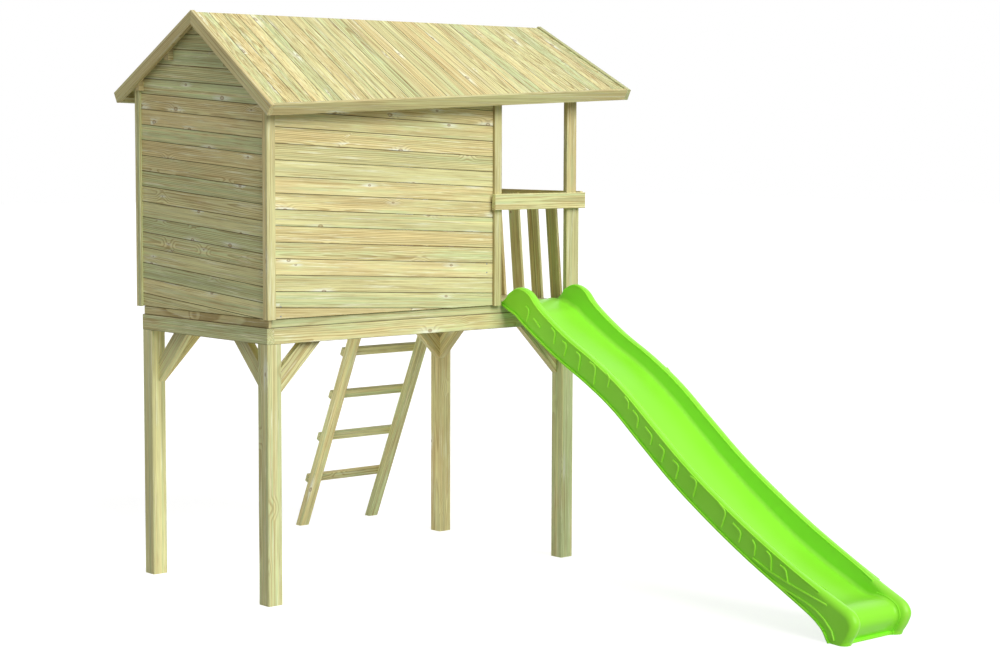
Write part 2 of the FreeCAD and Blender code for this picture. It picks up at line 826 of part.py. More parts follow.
# Slide
def oval(centre_x, centre_rise, half_width, half_height, start, end, facets):
    """Points on part of an oval, between two angles in degrees."""
    turns = [math.radians(start + (end - start) * index / facets) for index in range(facets + 1)]
    return [
        (centre_x + half_width * math.cos(turn), centre_rise + half_height * math.sin(turn))
        for turn in turns
    ]


def slide_section(rim, flange, depth):
    """Closed section of the moulded shell in the plane through a rim point and a flange point."""
    up = (rim - flange).normalize()
    height = rim.distanceToPoint(flange)
    half = SLIDE_WIDTH / 2
    half_rim = SLIDE_RIM_WIDTH / 2
    rim_round = min(SLIDE_RIM_ROUND, depth * SLIDE_ROUND_SHARE)
    fillet = min(SLIDE_FLOOR_FILLET, depth * SLIDE_FILLET_SHARE)
    flange_height = min(SLIDE_FLANGE_HEIGHT, height * SLIDE_FLANGE_SHARE)
    wall_foot = half - SLIDE_FLANGE
    shoulder = height - rim_round
    floor = height - depth
    floor_corner = half - SLIDE_RIM_WIDTH - min(SLIDE_DRAFT, depth * SLIDE_DRAFT_SHARE)
    floor_edge = floor_corner - SLIDE_FLOOR_FILLET

    outer = [(half, 0), (half, flange_height), (wall_foot, flange_height)]
    outer += oval(half - half_rim, shoulder, half_rim, rim_round, 0, 180, RIM_FACETS)
    outer += oval(floor_edge, floor + fillet, SLIDE_FLOOR_FILLET, fillet, 0, -90, FILLET_FACETS)
    under = [(wall_foot - SLIDE_WALL, 0)]
    under += oval(
        half - half_rim, shoulder, half_rim - SLIDE_WALL, rim_round - SLIDE_WALL, 0, 180, UNDER_FACETS
    )
    under += oval(
        floor_edge, floor + fillet, SLIDE_FLOOR_FILLET + SLIDE_WALL, fillet + SLIDE_WALL, 0, -90, UNDER_FACETS
    )
    left_outer = [(-x, rise) for x, rise in outer]
    left_under = [(-x, rise) for x, rise in under]
    outline = left_outer + outer[::-1] + under + left_under[::-1]
    return polygon([Vector(slide_centre + x, flange.y, flange.z) + up * rise for x, rise in outline])


def smooth_value(values, index, share):
    """Value on a smooth curve through the listed values, a share of the way past one of them."""
    last = len(values) - 1
    before, first, second, after = (values[min(max(index + step, 0), last)] for step in (-1, 0, 1, 2))
    straight = (second - before) * share
    bend = (2 * before - 5 * first + 4 * second - after) * share ** 2
    twist = (3 * first - before - 3 * second + after) * share ** 3
    return first + (straight + bend + twist) / 2


def slide_stations():
    """Rim point, flange point and trough depth of each section, the flat lip on the deck first."""
    seat = floor_top + SEAT_GAP
    stations = []
    for y in (SLIDE_LIP_LENGTH - half_depth, -half_depth):
        stations.append((Vector(0, y, slide_entry), Vector(0, y, seat), SLIDE_LIP_DEPTH))
    columns = list(zip(*SLIDE_STATION_SHARES))
    spans = len(SLIDE_STATION_SHARES) - 1
    for step in range(spans * SLIDE_STEPS + 1):
        index, part = divmod(step, SLIDE_STEPS)
        rim_run, rim_rise, flange_run, flange_rise, depth = [
            smooth_value(column, index, part / SLIDE_STEPS) for column in columns
        ]
        rim = Vector(0, -half_depth - rim_run * SLIDE_REACH, rim_rise * slide_entry)
        flange = Vector(0, -half_depth - flange_run * SLIDE_REACH, flange_rise * slide_entry)
        stations.append((rim, flange, depth * SLIDE_WIDTH))
    return stations


def slide():
    sections = [slide_section(rim, flange, depth) for rim, flange, depth in slide_stations()]
    run = Part.makeLoft(sections, True, True)
    reach = half_depth + SLIDE_REACH + OVERRUN
    below_ground = block((-reach, reach), (-reach, reach), (-OVERRUN, 0))
    return run.cut(below_ground)


def main():
    os.makedirs("parts", exist_ok=True)
    space = under_roof()
    sides = (FRONT, BACK)
    plates = {side: roof_timber(side, wall_inner, FRAME_DEPTH, PLATE_DEPTH, space) for side in sides}
    purlins = {side: roof_timber(side, PURLIN_REACH, PURLIN_THICK, PURLIN_DEPTH, space) for side in sides}
    ridge = ridge_beam(space)
    timbers = group([plates[FRONT], plates[BACK], purlins[FRONT], purlins[BACK], ridge])

    for name, x_side, y_side in (
        ("front_left", -1, FRONT),
        ("front_right", 1, FRONT),
        ("back_left", -1, BACK),
        ("back_right", 1, BACK),
    ):
        save("leg_" + name, [leg(x_side, y_side)])
    brace_places = brace_bolt_places()
    rim_places = rim_bolt_places()
    post_places = post_bolt_places()
    holes = group([
        bolt_holes(brace_places, BRACE_THICK),
        bolt_holes(rim_places, RIM_THICK),
        bolt_holes(post_places, POST_THICK),
    ])
    save("brace_bolts", bolts(brace_places, BRACE_THICK))
    save("rim_bolts", bolts(rim_places, RIM_THICK))
    save("post_bolts", bolts(post_places, POST_THICK))

    save("rim_left", [end_rim(-1).cut(holes)])
    save("rim_right", [end_rim(1).cut(holes)])
    save("rim_front", [long_rim(FRONT).cut(holes)])
    save("rim_back", [long_rim(BACK).cut(holes)])
    save("floor_joists", floor_joists())
    save("floor_battens", floor_battens())
    save("deck_boards", deck_boards())
    save("floor_strips_end", end_strips())
    save("floor_strips_long", [long_strips().cut(holes)])
    save("braces_front", [long_braces(FRONT).cut(holes)])
    save("braces_back", [long_braces(BACK).cut(holes)])
    save("braces_left", [end_braces(-1).cut(holes)])
    save("braces_right", [end_braces(1).cut(holes)])

    save("cladding_front", long_wall_boards(FRONT, space))
    save("cladding_back", long_wall_boards(BACK, space))
    save("cladding_left", gable_wall_boards(-1, space, timbers))
    save("cladding_right", gable_wall_boards(1, space, timbers))
    save("frame_front", long_wall_frame(FRONT, timbers))
    save("frame_back", long_wall_frame(BACK, timbers))
    save("frame_left", gable_frame(-1, space, timbers))
    save("frame_right", gable_frame(1, space, timbers))
    save("corner_trims_front", long_trims(FRONT, space))
    save("corner_trims_back", long_trims(BACK, space))
    save("corner_trims_left", gable_trims(-1, space, timbers))
    save("corner_trims_right", gable_trims(1, space, timbers))

    save("ridge_beam", [ridge])
    for name, side in (("front", FRONT), ("back", BACK)):
        save("wall_plate_" + name, [plates[side]])
        save("purlin_" + name, [purlins[side]])
        save("roof_boards_" + name, roof_boards(side))
        save("fascia_" + name, [eave_piece(fascia_corners, side)])
        save("eave_batten_" + name, [eave_piece(eave_batten_corners, side)])
        save("barge_" + name + "_left", [barge_board(LEFT, side)])
        save("barge_" + name + "_right", [barge_board(RIGHT, side)])
        save("terrace_post_lower_" + name, [lower_post(side).cut(holes)])
        save("terrace_post_upper_" + name, [upper_post(side, space).cut(holes)])
    save("crossbar", [crossbar().cut(holes)])
    save("end_rail", [end_rail()])
    save("end_slats", end_slats())
    save("ladder_rail_left", [ladder_rail(-1).cut(holes)])
    save("ladder_rail_right", [ladder_rail(1).cut(holes)])
    save("ladder_rungs", ladder_rungs())
    save("slide", [slide()])


main()
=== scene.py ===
import math

import bpy
from mathutils import Euler, Matrix, Vector


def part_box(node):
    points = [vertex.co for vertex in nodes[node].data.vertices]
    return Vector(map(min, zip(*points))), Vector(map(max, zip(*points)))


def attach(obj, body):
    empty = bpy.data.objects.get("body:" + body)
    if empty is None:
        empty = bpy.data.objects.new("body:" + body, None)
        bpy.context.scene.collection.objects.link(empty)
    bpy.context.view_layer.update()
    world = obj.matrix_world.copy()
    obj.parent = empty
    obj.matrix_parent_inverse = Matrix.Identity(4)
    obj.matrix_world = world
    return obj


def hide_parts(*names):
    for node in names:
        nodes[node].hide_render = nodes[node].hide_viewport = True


# Stilt playhouse of treated pine with a moulded lime slide. Lengths are in metres, in the frame of
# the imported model: +Z up, +X towards the terrace, the slide running down towards -Y.
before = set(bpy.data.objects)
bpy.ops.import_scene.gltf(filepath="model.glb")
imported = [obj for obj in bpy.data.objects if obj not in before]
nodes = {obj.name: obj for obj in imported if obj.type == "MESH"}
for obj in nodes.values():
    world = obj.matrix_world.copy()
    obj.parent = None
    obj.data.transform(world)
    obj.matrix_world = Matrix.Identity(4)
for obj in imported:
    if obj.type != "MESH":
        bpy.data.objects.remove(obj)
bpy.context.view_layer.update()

LEFT, RIGHT, FRONT, BACK = "left", "right", "front", "back"

# Colours as they are seen, in sRGB
CREAM = (0.925, 0.905, 0.660)
MEADOW = (0.835, 0.885, 0.655)
TAN = (0.895, 0.808, 0.580)
LATEWOOD = (0.640, 0.520, 0.290)
FRESH = (0.985, 0.985, 0.850)
KNOT_HEART = (0.600, 0.470, 0.270)
KNOT_CHIPS = (0.970, 0.975, 0.880)
JOINT_SHADE = (0.330, 0.270, 0.150)
LIME = (0.578, 0.930, 0.200)
LIME_PALE = (0.600, 0.945, 0.230)
# Paler lime painted on the slide's inner walls, as painted light
LIME_PAINTED_LIGHT = (0.634, 0.935, 0.290)
# Paler lime of the raised lines and rim edges, a painted highlight
RIDGE_HIGHLIGHT_LIME = (0.650, 0.990, 0.240)
RIDGE_HIGHLIGHT_PALE = (0.680, 0.995, 0.280)
ZINC = (0.640, 0.660, 0.680)
FLOOR_GREY = (0.680, 0.680, 0.680)

# Directions of the grain, and across the boards
ALONG_X = (1, 0, 0)
ALONG_Y = (0, 1, 0)
UPRIGHT = (0, 0, 1)

# Boards
CLADDING_COVER = 0.0856
LONG_WALL_SLANT = math.radians(2.88)
GABLE_WALL_SLANT = math.radians(3.65)
LONG_WALL_FIRST_JOINT = 0.0645
GABLE_WALL_FIRST_JOINT = 0.0836
ROOF_BOARD_COUNT = 28
DECK_BOARD_COUNT = 13
SLAT_COUNT = 6
SLAT_PITCH = 0.1666
SLAT_LEAN = math.radians(5.5)
RUNG_COUNT = 5
RUNG_PITCH = 0.2775
LADDER_LEAN = math.atan(0.640 / 1.430)
BARGE_SLOPES = {
    (FRONT, LEFT): math.radians(34.7),
    (BACK, LEFT): math.radians(28.6),
    (FRONT, RIGHT): math.radians(26.65),
    (BACK, RIGHT): math.radians(34.7),
}
TRIM_COUNT = 2
TRIM_COVER = 1.0

# A cover wider than any timber makes it one board. The inset is from a rim's end to its brace's middle
WHOLE_COVER = 20.0
BRACE_INSET = 0.15

# Inputs of the pine for each timber. A low stretch draws its streaks out; some tones are painted shade or
# light
SOLID_TIMBER = {"Streaks": 0.6, "Knots": 1.0, "Solid": 1.0, "JointsAndEdgeShade": 0.0, "Stretch": 1.0, "Tone": 1.0}
WALL_FINISH = {"Solid": 0.0, "JointsAndEdgeShade": 0.8}
DECK_FINISH = {"Solid": 0.0, "JointsAndEdgeShade": 0.3}
ROOF_FINISH = {"Solid": 0.0, "JointsAndEdgeShade": 0.8, "Streaks": 1.0, "Stretch": 0.28, "Tone": 1.03}
# Tones below one on the barges, under-roof timbers and purlins are painted shade
BARGE_STRETCH_AND_PAINTED_SHADE = {"Stretch": 0.5, "Tone": 0.88}
FASCIA_FINISH = {"Stretch": 0.5, "Tone": 0.90}
UNDER_ROOF_PAINTED_SHADE = {"Tone": 0.85}
PURLIN_STREAKS_AND_PAINTED_SHADE = {"Streaks": 0.2, "Tone": 0.66}
LEG_FINISH = {"Streaks": 0.4}
# Painted shade along the long edges of upright timbers, where they meet those above and below
PAINTED_EDGE_SHADE = {"JointsAndEdgeShade": 0.75}
LONG_STRIP_FINISH = {"Tone": 0.90}
LONG_WALL_TRIM_FINISH = {"Tone": 0.92}
POST_FINISH = {"Tone": 0.86}
# Tones above one on the slats and ladder rails are painted light
SLAT_PAINTED_LIGHT = {"Tone": 1.20}
LADDER_RAIL_PAINTED_LIGHT = {"Tone": 1.12}

# Steps that set one board apart from the next, in its drawn numbers and in its place in the timber
SEED_STEP = 37.7
BOARD_SHIFT = 31.0
SEED_SHIFT = 11.0
SIDE_SHIFT = 1.7
DEPTH_SHIFT = 17.0
SEED_COUNT = 97

# Knots, at most one in each cell of the timber, and the pale chips drawn out beside them. Here and below, a
# fade lists the two values it runs between and, unless they are nought and one, what it gives at each
KNOT_CELL_LENGTH = 0.36
KNOT_CELL_SIDE = 0.09
KNOT_CELLS_APART = 3
KNOT_SCATTER = 0.75
KNOT_FREE_SHARE = 0.74
SOLID_EXTRA_KNOTS = 0.35
KNOT_RADIUS = 0.004
KNOT_RADIUS_SPREAD = 0.008
KNOT_STRETCH = 1.7
CHIP_STRETCH = 4.5
HEART_INSIDE = (0.0, 0.7, 0.35, 1.0)
HEART_OUTSIDE = (0.7, 1.2, 1.0, 0.0)
CHIP_REACH = (0.6, 2.6, 1.0, 0.0)
SWELL_REACH = (0.0, 0.05, 0.018, 0.0)

# Growth rings round a pith behind each board
RING_WIDTH = 0.0085
PITH_DEPTH = 0.020
PITH_SPREAD = 0.11
RING_BEND = 0.05
RING_TILT = 0.02
WARP_SCALES = (1.1, 5.0, 2.0)
LATE_START = (0.35, 0.85)
LATE_END = (0.88, 1.0, 1.0, 0.0)

# Noise along the grain: changes per metre along, across and into the board, detail, and roughness
BROAD_GRAIN = ((0.9, 34.0, 34.0), 3.0, 0.6)
BAND_GRAIN = ((0.5, 62.0, 62.0), 1.0, 0.5)
NARROW_GRAIN = ((2.0, 150.0, 150.0), 3.0, 0.7)
PALE_GRAIN = ((3.2, 85.0, 110.5), 4.0, 0.7)
FIBRE_GRAIN = ((9.0, 520.0, 520.0), 2.0, 0.5)
CLOUD_GRAIN = ((2.6, 12.0, 12.0), 3.0, 0.6)

# How the pattern becomes colour: the strength of each part, and the values over which it fades in
GREEN_BY_BOARD = 0.6
GREEN_BY_BAND = 1.4
BAND_START = 0.3
GREEN_STRENGTH = 0.85
GREEN_FADE = (0.42, 0.86)
TAN_BY_BOARD = 0.7
TAN_BY_CLOUD = 1.5
CLOUD_START = 0.35
TAN_STRENGTH = 0.68
TAN_FADE = (0.40, 1.00)
RING_FADE = (0.65, 1.35, 0.08, 0.60)
STREAK_FADE = (0.50, 0.68)
PALE_STRENGTH = 0.70
PALE_FADE = (0.54, 0.70)
CHIP_FADE = (0.42, 0.56, 0.15, 0.90)
HEART_STRENGTH = 0.70
BOARD_LEVEL = 0.88
BOARD_LEVEL_SPREAD = 0.14
FIBRE_CONTRAST = 0.45
BROAD_CONTRAST = 0.68
JOINT_FADE = (0.0006, 0.0034, 1.0, 0.0)
PINE_ROUGHNESS = 0.56
FIBRE_ROUGHNESS = 0.22
PINE_SPECULAR = 0.25
PINE_BUMP = 0.25
PINE_BUMP_DEPTH = 0.0006
LATE_HEIGHT = 0.5
KNOT_DIP = 0.6

# Plastic and zinc
PLASTIC_TONE_SCALE = 2.5
PLASTIC_TONE_FADE = (0.35, 0.65)
PEBBLE_SCALE = 420.0
PEBBLE_HEIGHT = 0.25
WAVE_SCALE = 9.0
WAVE_DETAIL = 1.0
PLASTIC_ROUGHNESS = (0.2, 0.8, 0.33, 0.42)
PLASTIC_SPECULAR = 0.28
PLASTIC_BUMP = 0.10
PLASTIC_BUMP_DEPTH = 0.0008
ZINC_PATCH_SCALE = 300.0
ZINC_PATCH_DETAIL = 3.0
ZINC_DULL_SHARE = 0.8
ZINC_ROUGHNESS = (0.2, 0.8, 0.25, 0.5)


# Colour and node helpers
def linear(colour):
    """The linear value that shows as an sRGB colour."""
    return tuple(((part + 0.055) / 1.055) ** 2.4 for part in colour) + (1.0,)


class Sheet:
    """Adds nodes to one node tree and joins them up."""

    def __init__(self, tree):
        self.tree = tree

    def add(self, kind, **settings):
        node = self.tree.nodes.new(kind)
        for name, value in settings.items():
            setattr(node, name, value)
        return node

    def put(self, value, socket):
        """Links another node's output to the socket, or sets a plain value on it."""
        if isinstance(value, bpy.types.NodeSocket):
            self.tree.links.new(value, socket)
        else:
            socket.default_value = value

    def math(self, operation, *values):
        node = self.add("ShaderNodeMath", operation=operation)
        for value, socket in zip(values, node.inputs):
            self.put(value, socket)
        return node.outputs[0]

    def smooth(self, value, low, high, out_low=0.0, out_high=1.0):
        """A soft step from one output to the other, as the value goes from low to high."""
        node = self.add("ShaderNodeMapRange", interpolation_type="SMOOTHSTEP")
        for item, socket in zip((value, low, high, out_low, out_high), node.inputs):
            self.put(item, socket)
        return node.outputs[0]

    def mix(self, share, first, second):
        """The first colour, with a share of the second laid over it."""
        node = self.add("ShaderNodeMix", data_type="RGBA")
        for item, socket in ((share, node.inputs[0]), (first, node.inputs[6]), (second, node.inputs[7])):
            self.put(item, socket)
        return node.outputs[2]

    def point(self, x, y, z):
        node = self.add("ShaderNodeCombineXYZ")
        for value, socket in zip((x, y, z), node.inputs):
            self.put(value, socket)
        return node.outputs[0]

    def split(self, vector):
        node = self.add("ShaderNodeSeparateXYZ")
        self.put(vector, node.inputs[0])
        return node.outputs

    def times(self, first, second):
        return self.math("MULTIPLY", first, second)

    def plus(self, first, second):
        return self.math("ADD", first, second)

    def minus(self, first, second):
        return self.math("SUBTRACT", first, second)

    def vector(self, operation, *values):
        node = self.add("ShaderNodeVectorMath", operation=operation)
        for value, socket in zip(values, node.inputs):
            self.put(value, socket)
        return node.outputs[0]

    def length(self, vector):
        node = self.add("ShaderNodeVectorMath", operation="LENGTH")
        self.put(vector, node.inputs[0])
        return node.outputs["Value"]

    def scaled(self, place, scales):
        """A place whose three parts are each multiplied by a scale of their own."""
        return self.point(*[self.times(part, scale) for part, scale in zip(place, scales)])

    def noise(self, vector, scale=1.0, detail=2.0, rough=0.5):
        node = self.add("ShaderNodeTexNoise")
        self.put(vector, node.inputs["Vector"])
        self.put(scale, node.inputs["Scale"])
        self.put(detail, node.inputs["Detail"])
        self.put(rough, node.inputs["Roughness"])
        return node.outputs[0]


def new_group(name, inputs, outputs):
    """An empty node group with named sockets. Returns its sheet, its inputs and its output node."""
    tree = bpy.data.node_groups.new(name, "ShaderNodeTree")
    for label, kind in inputs:
        tree.interface.new_socket(name=label, in_out="INPUT", socket_type=kind)
    for label, kind in outputs:
        tree.interface.new_socket(name=label, in_out="OUTPUT", socket_type=kind)
    sheet = Sheet(tree)
    source = sheet.add("NodeGroupInput").outputs
    sink = sheet.add("NodeGroupOutput").inputs
    return sheet, source, sink


class Boards:
    """Where a point lies on its board, and four numbers between nought and one of that board's own. The
    grain runs along X, boards lie side by side along Y, and Z goes into the board."""

    def __init__(self, sheet, source):
        times, plus, minus = sheet.times, sheet.plus, sheet.minus
        self.x, y, self.z = sheet.split(source["Vector"])
        lane = plus(sheet.math("DIVIDE", y, source["Cover"]), source["First"])
        self.index = sheet.math("FLOOR", lane)
        self.across = times(minus(minus(lane, self.index), 0.5), source["Cover"])
        dice = sheet.add("ShaderNodeTexWhiteNoise", noise_dimensions="1D")
        sheet.put(plus(self.index, times(source["Seed"], SEED_STEP)), dice.inputs["W"])
        self.first, self.second, self.third = sheet.split(dice.outputs["Color"])
        self.fourth = dice.outputs["Value"]
        self.along = plus(self.x, plus(times(self.first, BOARD_SHIFT), times(source["Seed"], SEED_SHIFT)))
        self.side = plus(y, times(self.index, SIDE_SHIFT))
        self.depth = plus(self.z, times(self.second, DEPTH_SHIFT))


def pine_knots(sheet, source, board):
    """Knots. Solid timber has them spread through its whole section. Gives the darkness of a knot's ring,
    the nearness to a knot, and the swelling of the growth rings round it."""
    times, plus, minus = sheet.times, sheet.plus, sheet.minus
    layer = plus(times(board.z, source["Solid"]), times(board.index, KNOT_CELL_SIDE * KNOT_CELLS_APART))
    cell_size = (KNOT_CELL_LENGTH, KNOT_CELL_SIDE, KNOT_CELL_SIDE)
    cell_point = sheet.vector("DIVIDE", sheet.point(board.along, board.across, layer), cell_size)
    cells = sheet.add("ShaderNodeTexVoronoi")
    sheet.put(cell_point, cells.inputs["Vector"])
    sheet.put(1.0, cells.inputs["Scale"])
    sheet.put(KNOT_SCATTER, cells.inputs["Randomness"])
    away = sheet.vector("SUBTRACT", cell_point, cells.outputs["Position"])
    away_x, away_y, away_z = sheet.split(sheet.vector("MULTIPLY", away, cell_size))
    away_z = times(away_z, source["Solid"])
    distance = sheet.length(sheet.point(sheet.math("DIVIDE", away_x, KNOT_STRETCH), away_y, away_z))
    chip_distance = sheet.length(sheet.point(sheet.math("DIVIDE", away_x, CHIP_STRETCH), away_y, away_z))
    chance, size, _ = sheet.split(cells.outputs["Color"])
    free_share = minus(KNOT_FREE_SHARE, times(source["Solid"], SOLID_EXTRA_KNOTS))
    present = times(sheet.math("GREATER_THAN", chance, free_share), source["Knots"])
    radius = plus(times(size, KNOT_RADIUS_SPREAD), KNOT_RADIUS)
    reach = sheet.math("DIVIDE", distance, radius)
    ring = times(sheet.smooth(reach, *HEART_INSIDE), sheet.smooth(reach, *HEART_OUTSIDE))
    near = sheet.smooth(sheet.math("DIVIDE", chip_distance, radius), *CHIP_REACH)
    return times(ring, present), times(near, present), times(sheet.smooth(distance, *SWELL_REACH), present)


def pine_rings(sheet, board, swell):
    """The late wood of the growth rings. Nought is the middle of the timber, and the pith lies behind it
    at a place of its own for each board."""
    times, plus, minus = sheet.times, sheet.plus, sheet.minus
    warp = sheet.noise(sheet.scaled((board.along, board.side, board.depth), WARP_SCALES))
    bend = times(minus(warp, 0.5), RING_BEND)
    tilt = times(minus(board.third, 0.5), RING_TILT)
    ring_y = plus(board.across, times(minus(board.fourth, 0.5), PITH_SPREAD))
    ring_z = plus(plus(board.z, plus(PITH_DEPTH, bend)), times(board.x, tilt))
    ring_out = plus(sheet.length(sheet.point(0.0, ring_y, ring_z)), swell)
    ring_share = sheet.math("FRACT", sheet.math("DIVIDE", ring_out, RING_WIDTH))
    return times(sheet.smooth(ring_share, *LATE_START), sheet.smooth(ring_share, *LATE_END))


def pine_grain(sheet, source, board, kind):
    """Noise of one kind, drawn out along the grain."""
    scales, detail, rough = kind
    drawn = sheet.times(board.along, source["Stretch"])
    return sheet.noise(sheet.scaled((drawn, board.side, board.depth), scales), detail=detail, rough=rough)


def pine_colour(sheet, source, board, late, heart, near):
    """Cream timber with green and tan stretches, late wood, streaks, pale flecks and knots."""
    times, plus, minus = sheet.times, sheet.plus, sheet.minus
    band = pine_grain(sheet, source, board, BAND_GRAIN)
    cloud = pine_grain(sheet, source, board, CLOUD_GRAIN)
    narrow = pine_grain(sheet, source, board, NARROW_GRAIN)
    pale = pine_grain(sheet, source, board, PALE_GRAIN)
    green = plus(times(board.second, GREEN_BY_BOARD), times(minus(band, BAND_START), GREEN_BY_BAND))
    tan = plus(times(board.first, TAN_BY_BOARD), times(minus(cloud, CLOUD_START), TAN_BY_CLOUD))
    ring_strength = times(late, sheet.smooth(plus(board.third, cloud), *RING_FADE))
    streak_strength = times(sheet.smooth(narrow, *STREAK_FADE), source["Streaks"])
    layers = (
        (times(sheet.smooth(green, *GREEN_FADE), GREEN_STRENGTH), MEADOW),
        (times(sheet.smooth(tan, *TAN_FADE), TAN_STRENGTH), TAN),
        (ring_strength, LATEWOOD),
        (streak_strength, LATEWOOD),
        (times(sheet.smooth(pale, *PALE_FADE), PALE_STRENGTH), FRESH),
        (times(near, sheet.smooth(pale, *CHIP_FADE)), KNOT_CHIPS),
        (times(heart, HEART_STRENGTH), KNOT_HEART),
    )
    colour = linear(CREAM)
    for strength, layer in layers:
        colour = sheet.mix(strength, colour, linear(layer))
    return colour


def pine_shade(sheet, source, board, colour, fibre):
    """Each board a little lighter or darker, and a dark line where boards meet."""
    times, plus, minus = sheet.times, sheet.plus, sheet.minus
    broad = pine_grain(sheet, source, board, BROAD_GRAIN)
    level = plus(times(board.fourth, BOARD_LEVEL_SPREAD), BOARD_LEVEL)
    level = plus(level, times(minus(fibre, 0.5), FIBRE_CONTRAST))
    level = plus(level, times(minus(broad, 0.5), BROAD_CONTRAST))
    scaled = sheet.add("ShaderNodeVectorMath", operation="SCALE")
    sheet.put(colour, scaled.inputs[0])
    # The tone scales the whole timber; on some timbers it is painted shade or painted light
    sheet.put(times(level, source["Tone"]), scaled.inputs["Scale"])
    # Dark joint lines where boards meet; on upright timbers this is painted shade along their edges
    edge = minus(times(source["Cover"], 0.5), sheet.math("ABSOLUTE", board.across))
    joint = times(sheet.smooth(edge, *JOINT_FADE), source["JointsAndEdgeShade"])
    return sheet.mix(joint, scaled.outputs[0], linear(JOINT_SHADE))


def make_pine_group():
    """Treated pine, as one group that every timber's material holds with its own values."""
    numbers = ("Cover", "First", "Seed", "Streaks", "Knots", "Solid", "JointsAndEdgeShade", "Stretch", "Tone")
    sheet, source, sink = new_group(
        "treated pine boards",
        [("Vector", "NodeSocketVector")] + [(label, "NodeSocketFloat") for label in numbers],
        [("Color", "NodeSocketColor"), ("Roughness", "NodeSocketFloat"), ("Height", "NodeSocketFloat")],
    )
    times, plus, minus = sheet.times, sheet.plus, sheet.minus
    board = Boards(sheet, source)
    heart, near, swell = pine_knots(sheet, source, board)
    late = pine_rings(sheet, board, swell)
    fibre = pine_grain(sheet, source, board, FIBRE_GRAIN)
    colour = pine_colour(sheet, source, board, late, heart, near)
    sheet.put(pine_shade(sheet, source, board, colour, fibre), sink["Color"])
    sheet.put(plus(PINE_ROUGHNESS, times(fibre, FIBRE_ROUGHNESS)), sink["Roughness"])
    sheet.put(minus(plus(times(late, LATE_HEIGHT), fibre), times(heart, KNOT_DIP)), sink["Height"])
    return sheet.tree


def new_material(name):
    """A material with a shader and its output. Returns the material, its sheet and the shader."""
    material = bpy.data.materials.new(name)
    material.use_nodes = True
    tree = material.node_tree
    tree.nodes.clear()
    sheet = Sheet(tree)
    shader = sheet.add("ShaderNodeBsdfPrincipled")
    output = sheet.add("ShaderNodeOutputMaterial")
    tree.links.new(shader.outputs[0], output.inputs[0])
    return material, sheet, shader


def add_bump(sheet, shader, height, strength, depth):
    """Relief of the given depth in the shader's normal."""
    bump = sheet.add("ShaderNodeBump")
    bump.inputs["Strength"].default_value = strength
    bump.inputs["Distance"].default_value = depth
    sheet.put(height, bump.inputs["Height"])
    sheet.put(bump.outputs[0], shader.inputs["Normal"])


def board_turn(grain, across):
    """The turn that brings the grain direction to X and the across direction to Y."""
    grain = Vector(grain).normalized()
    across = Vector(across)
    across = (across - grain * across.dot(grain)).normalized()
    return Matrix((grain, across, grain.cross(across))).to_euler("XYZ")


def coat_with_pine(sheet, shader, vector, values):
    """Joins the board pattern to the shader, with the named values of this timber."""
    boards = sheet.add("ShaderNodeGroup", node_tree=pine_group)
    sheet.put(vector, boards.inputs["Vector"])
    for label, value in values.items():
        boards.inputs[label].default_value = value
    sheet.put(boards.outputs["Color"], shader.inputs["Base Color"])
    sheet.put(boards.outputs["Roughness"], shader.inputs["Roughness"])
    shader.inputs["Specular IOR Level"].default_value = PINE_SPECULAR
    add_bump(sheet, shader, boards.outputs["Height"], PINE_BUMP, PINE_BUMP_DEPTH)


def seed_of(name):
    """A steady number between nought and one for each name."""
    return sum(ord(letter) * (place + 1) for place, letter in enumerate(name)) % SEED_COUNT / SEED_COUNT


def pine(node, grain, across, finish=None, count=1, cover=WHOLE_COVER, fold=None):
    """Dresses a node in treated pine. The count is the number of boards side by side, and the cover the
    width of each. A fold mirrors one axis about the platform's middle, so that two handed pieces share
    one grain direction."""
    material, sheet, shader = new_material("pine " + node.replace("_", " "))
    vector = sheet.add("ShaderNodeTexCoord").outputs["Object"]
    low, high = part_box(node)
    centre = (low + high) / 2
    if fold is not None:
        parts = list(sheet.split(vector))
        parts[fold] = sheet.math("ABSOLUTE", sheet.minus(parts[fold], centre[fold]))
        vector = sheet.point(*parts)
        centre[fold] = (high[fold] - low[fold]) / 2 - BRACE_INSET
    middle = sheet.vector("SUBTRACT", vector, tuple(centre))
    laid = sheet.add("ShaderNodeMapping", vector_type="POINT")
    sheet.put(middle, laid.inputs["Vector"])
    laid.inputs["Rotation"].default_value = board_turn(grain, across)
    values = {"Cover": cover, "First": count / 2, "Seed": seed_of(node), **SOLID_TIMBER, **(finish or {})}
    coat_with_pine(sheet, shader, laid.outputs[0], values)
    dress(node, material)


def pine_with_painted_edge_shade(node, grain, finish=None):
    """Pine on an upright board with painted shade along its long edges, where it meets the boards above and
    below, and over its top and bottom faces.
    """
    low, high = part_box(node)
    pine(node, grain, UPRIGHT, {**PAINTED_EDGE_SHADE, **(finish or {})}, cover=high.z - low.z)


def painted_light_wall_share(sheet, vector, form):
    """One on the slide's inner walls, which are painted paler as painted light, and nought in its trough
    and outside.
    """
    away = sheet.math("ABSOLUTE", sheet.minus(sheet.split(vector)[0], form.middle))
    wall = form.half - SLIDE_RIM_WIDTH
    past_trough = sheet.smooth(away, wall - SLIDE_FILLET, wall - SLIDE_DRAFT)
    before_rim = sheet.smooth(away, wall, wall + SLIDE_DRAFT, 1.0, 0.0)
    return sheet.times(past_trough, before_rim)


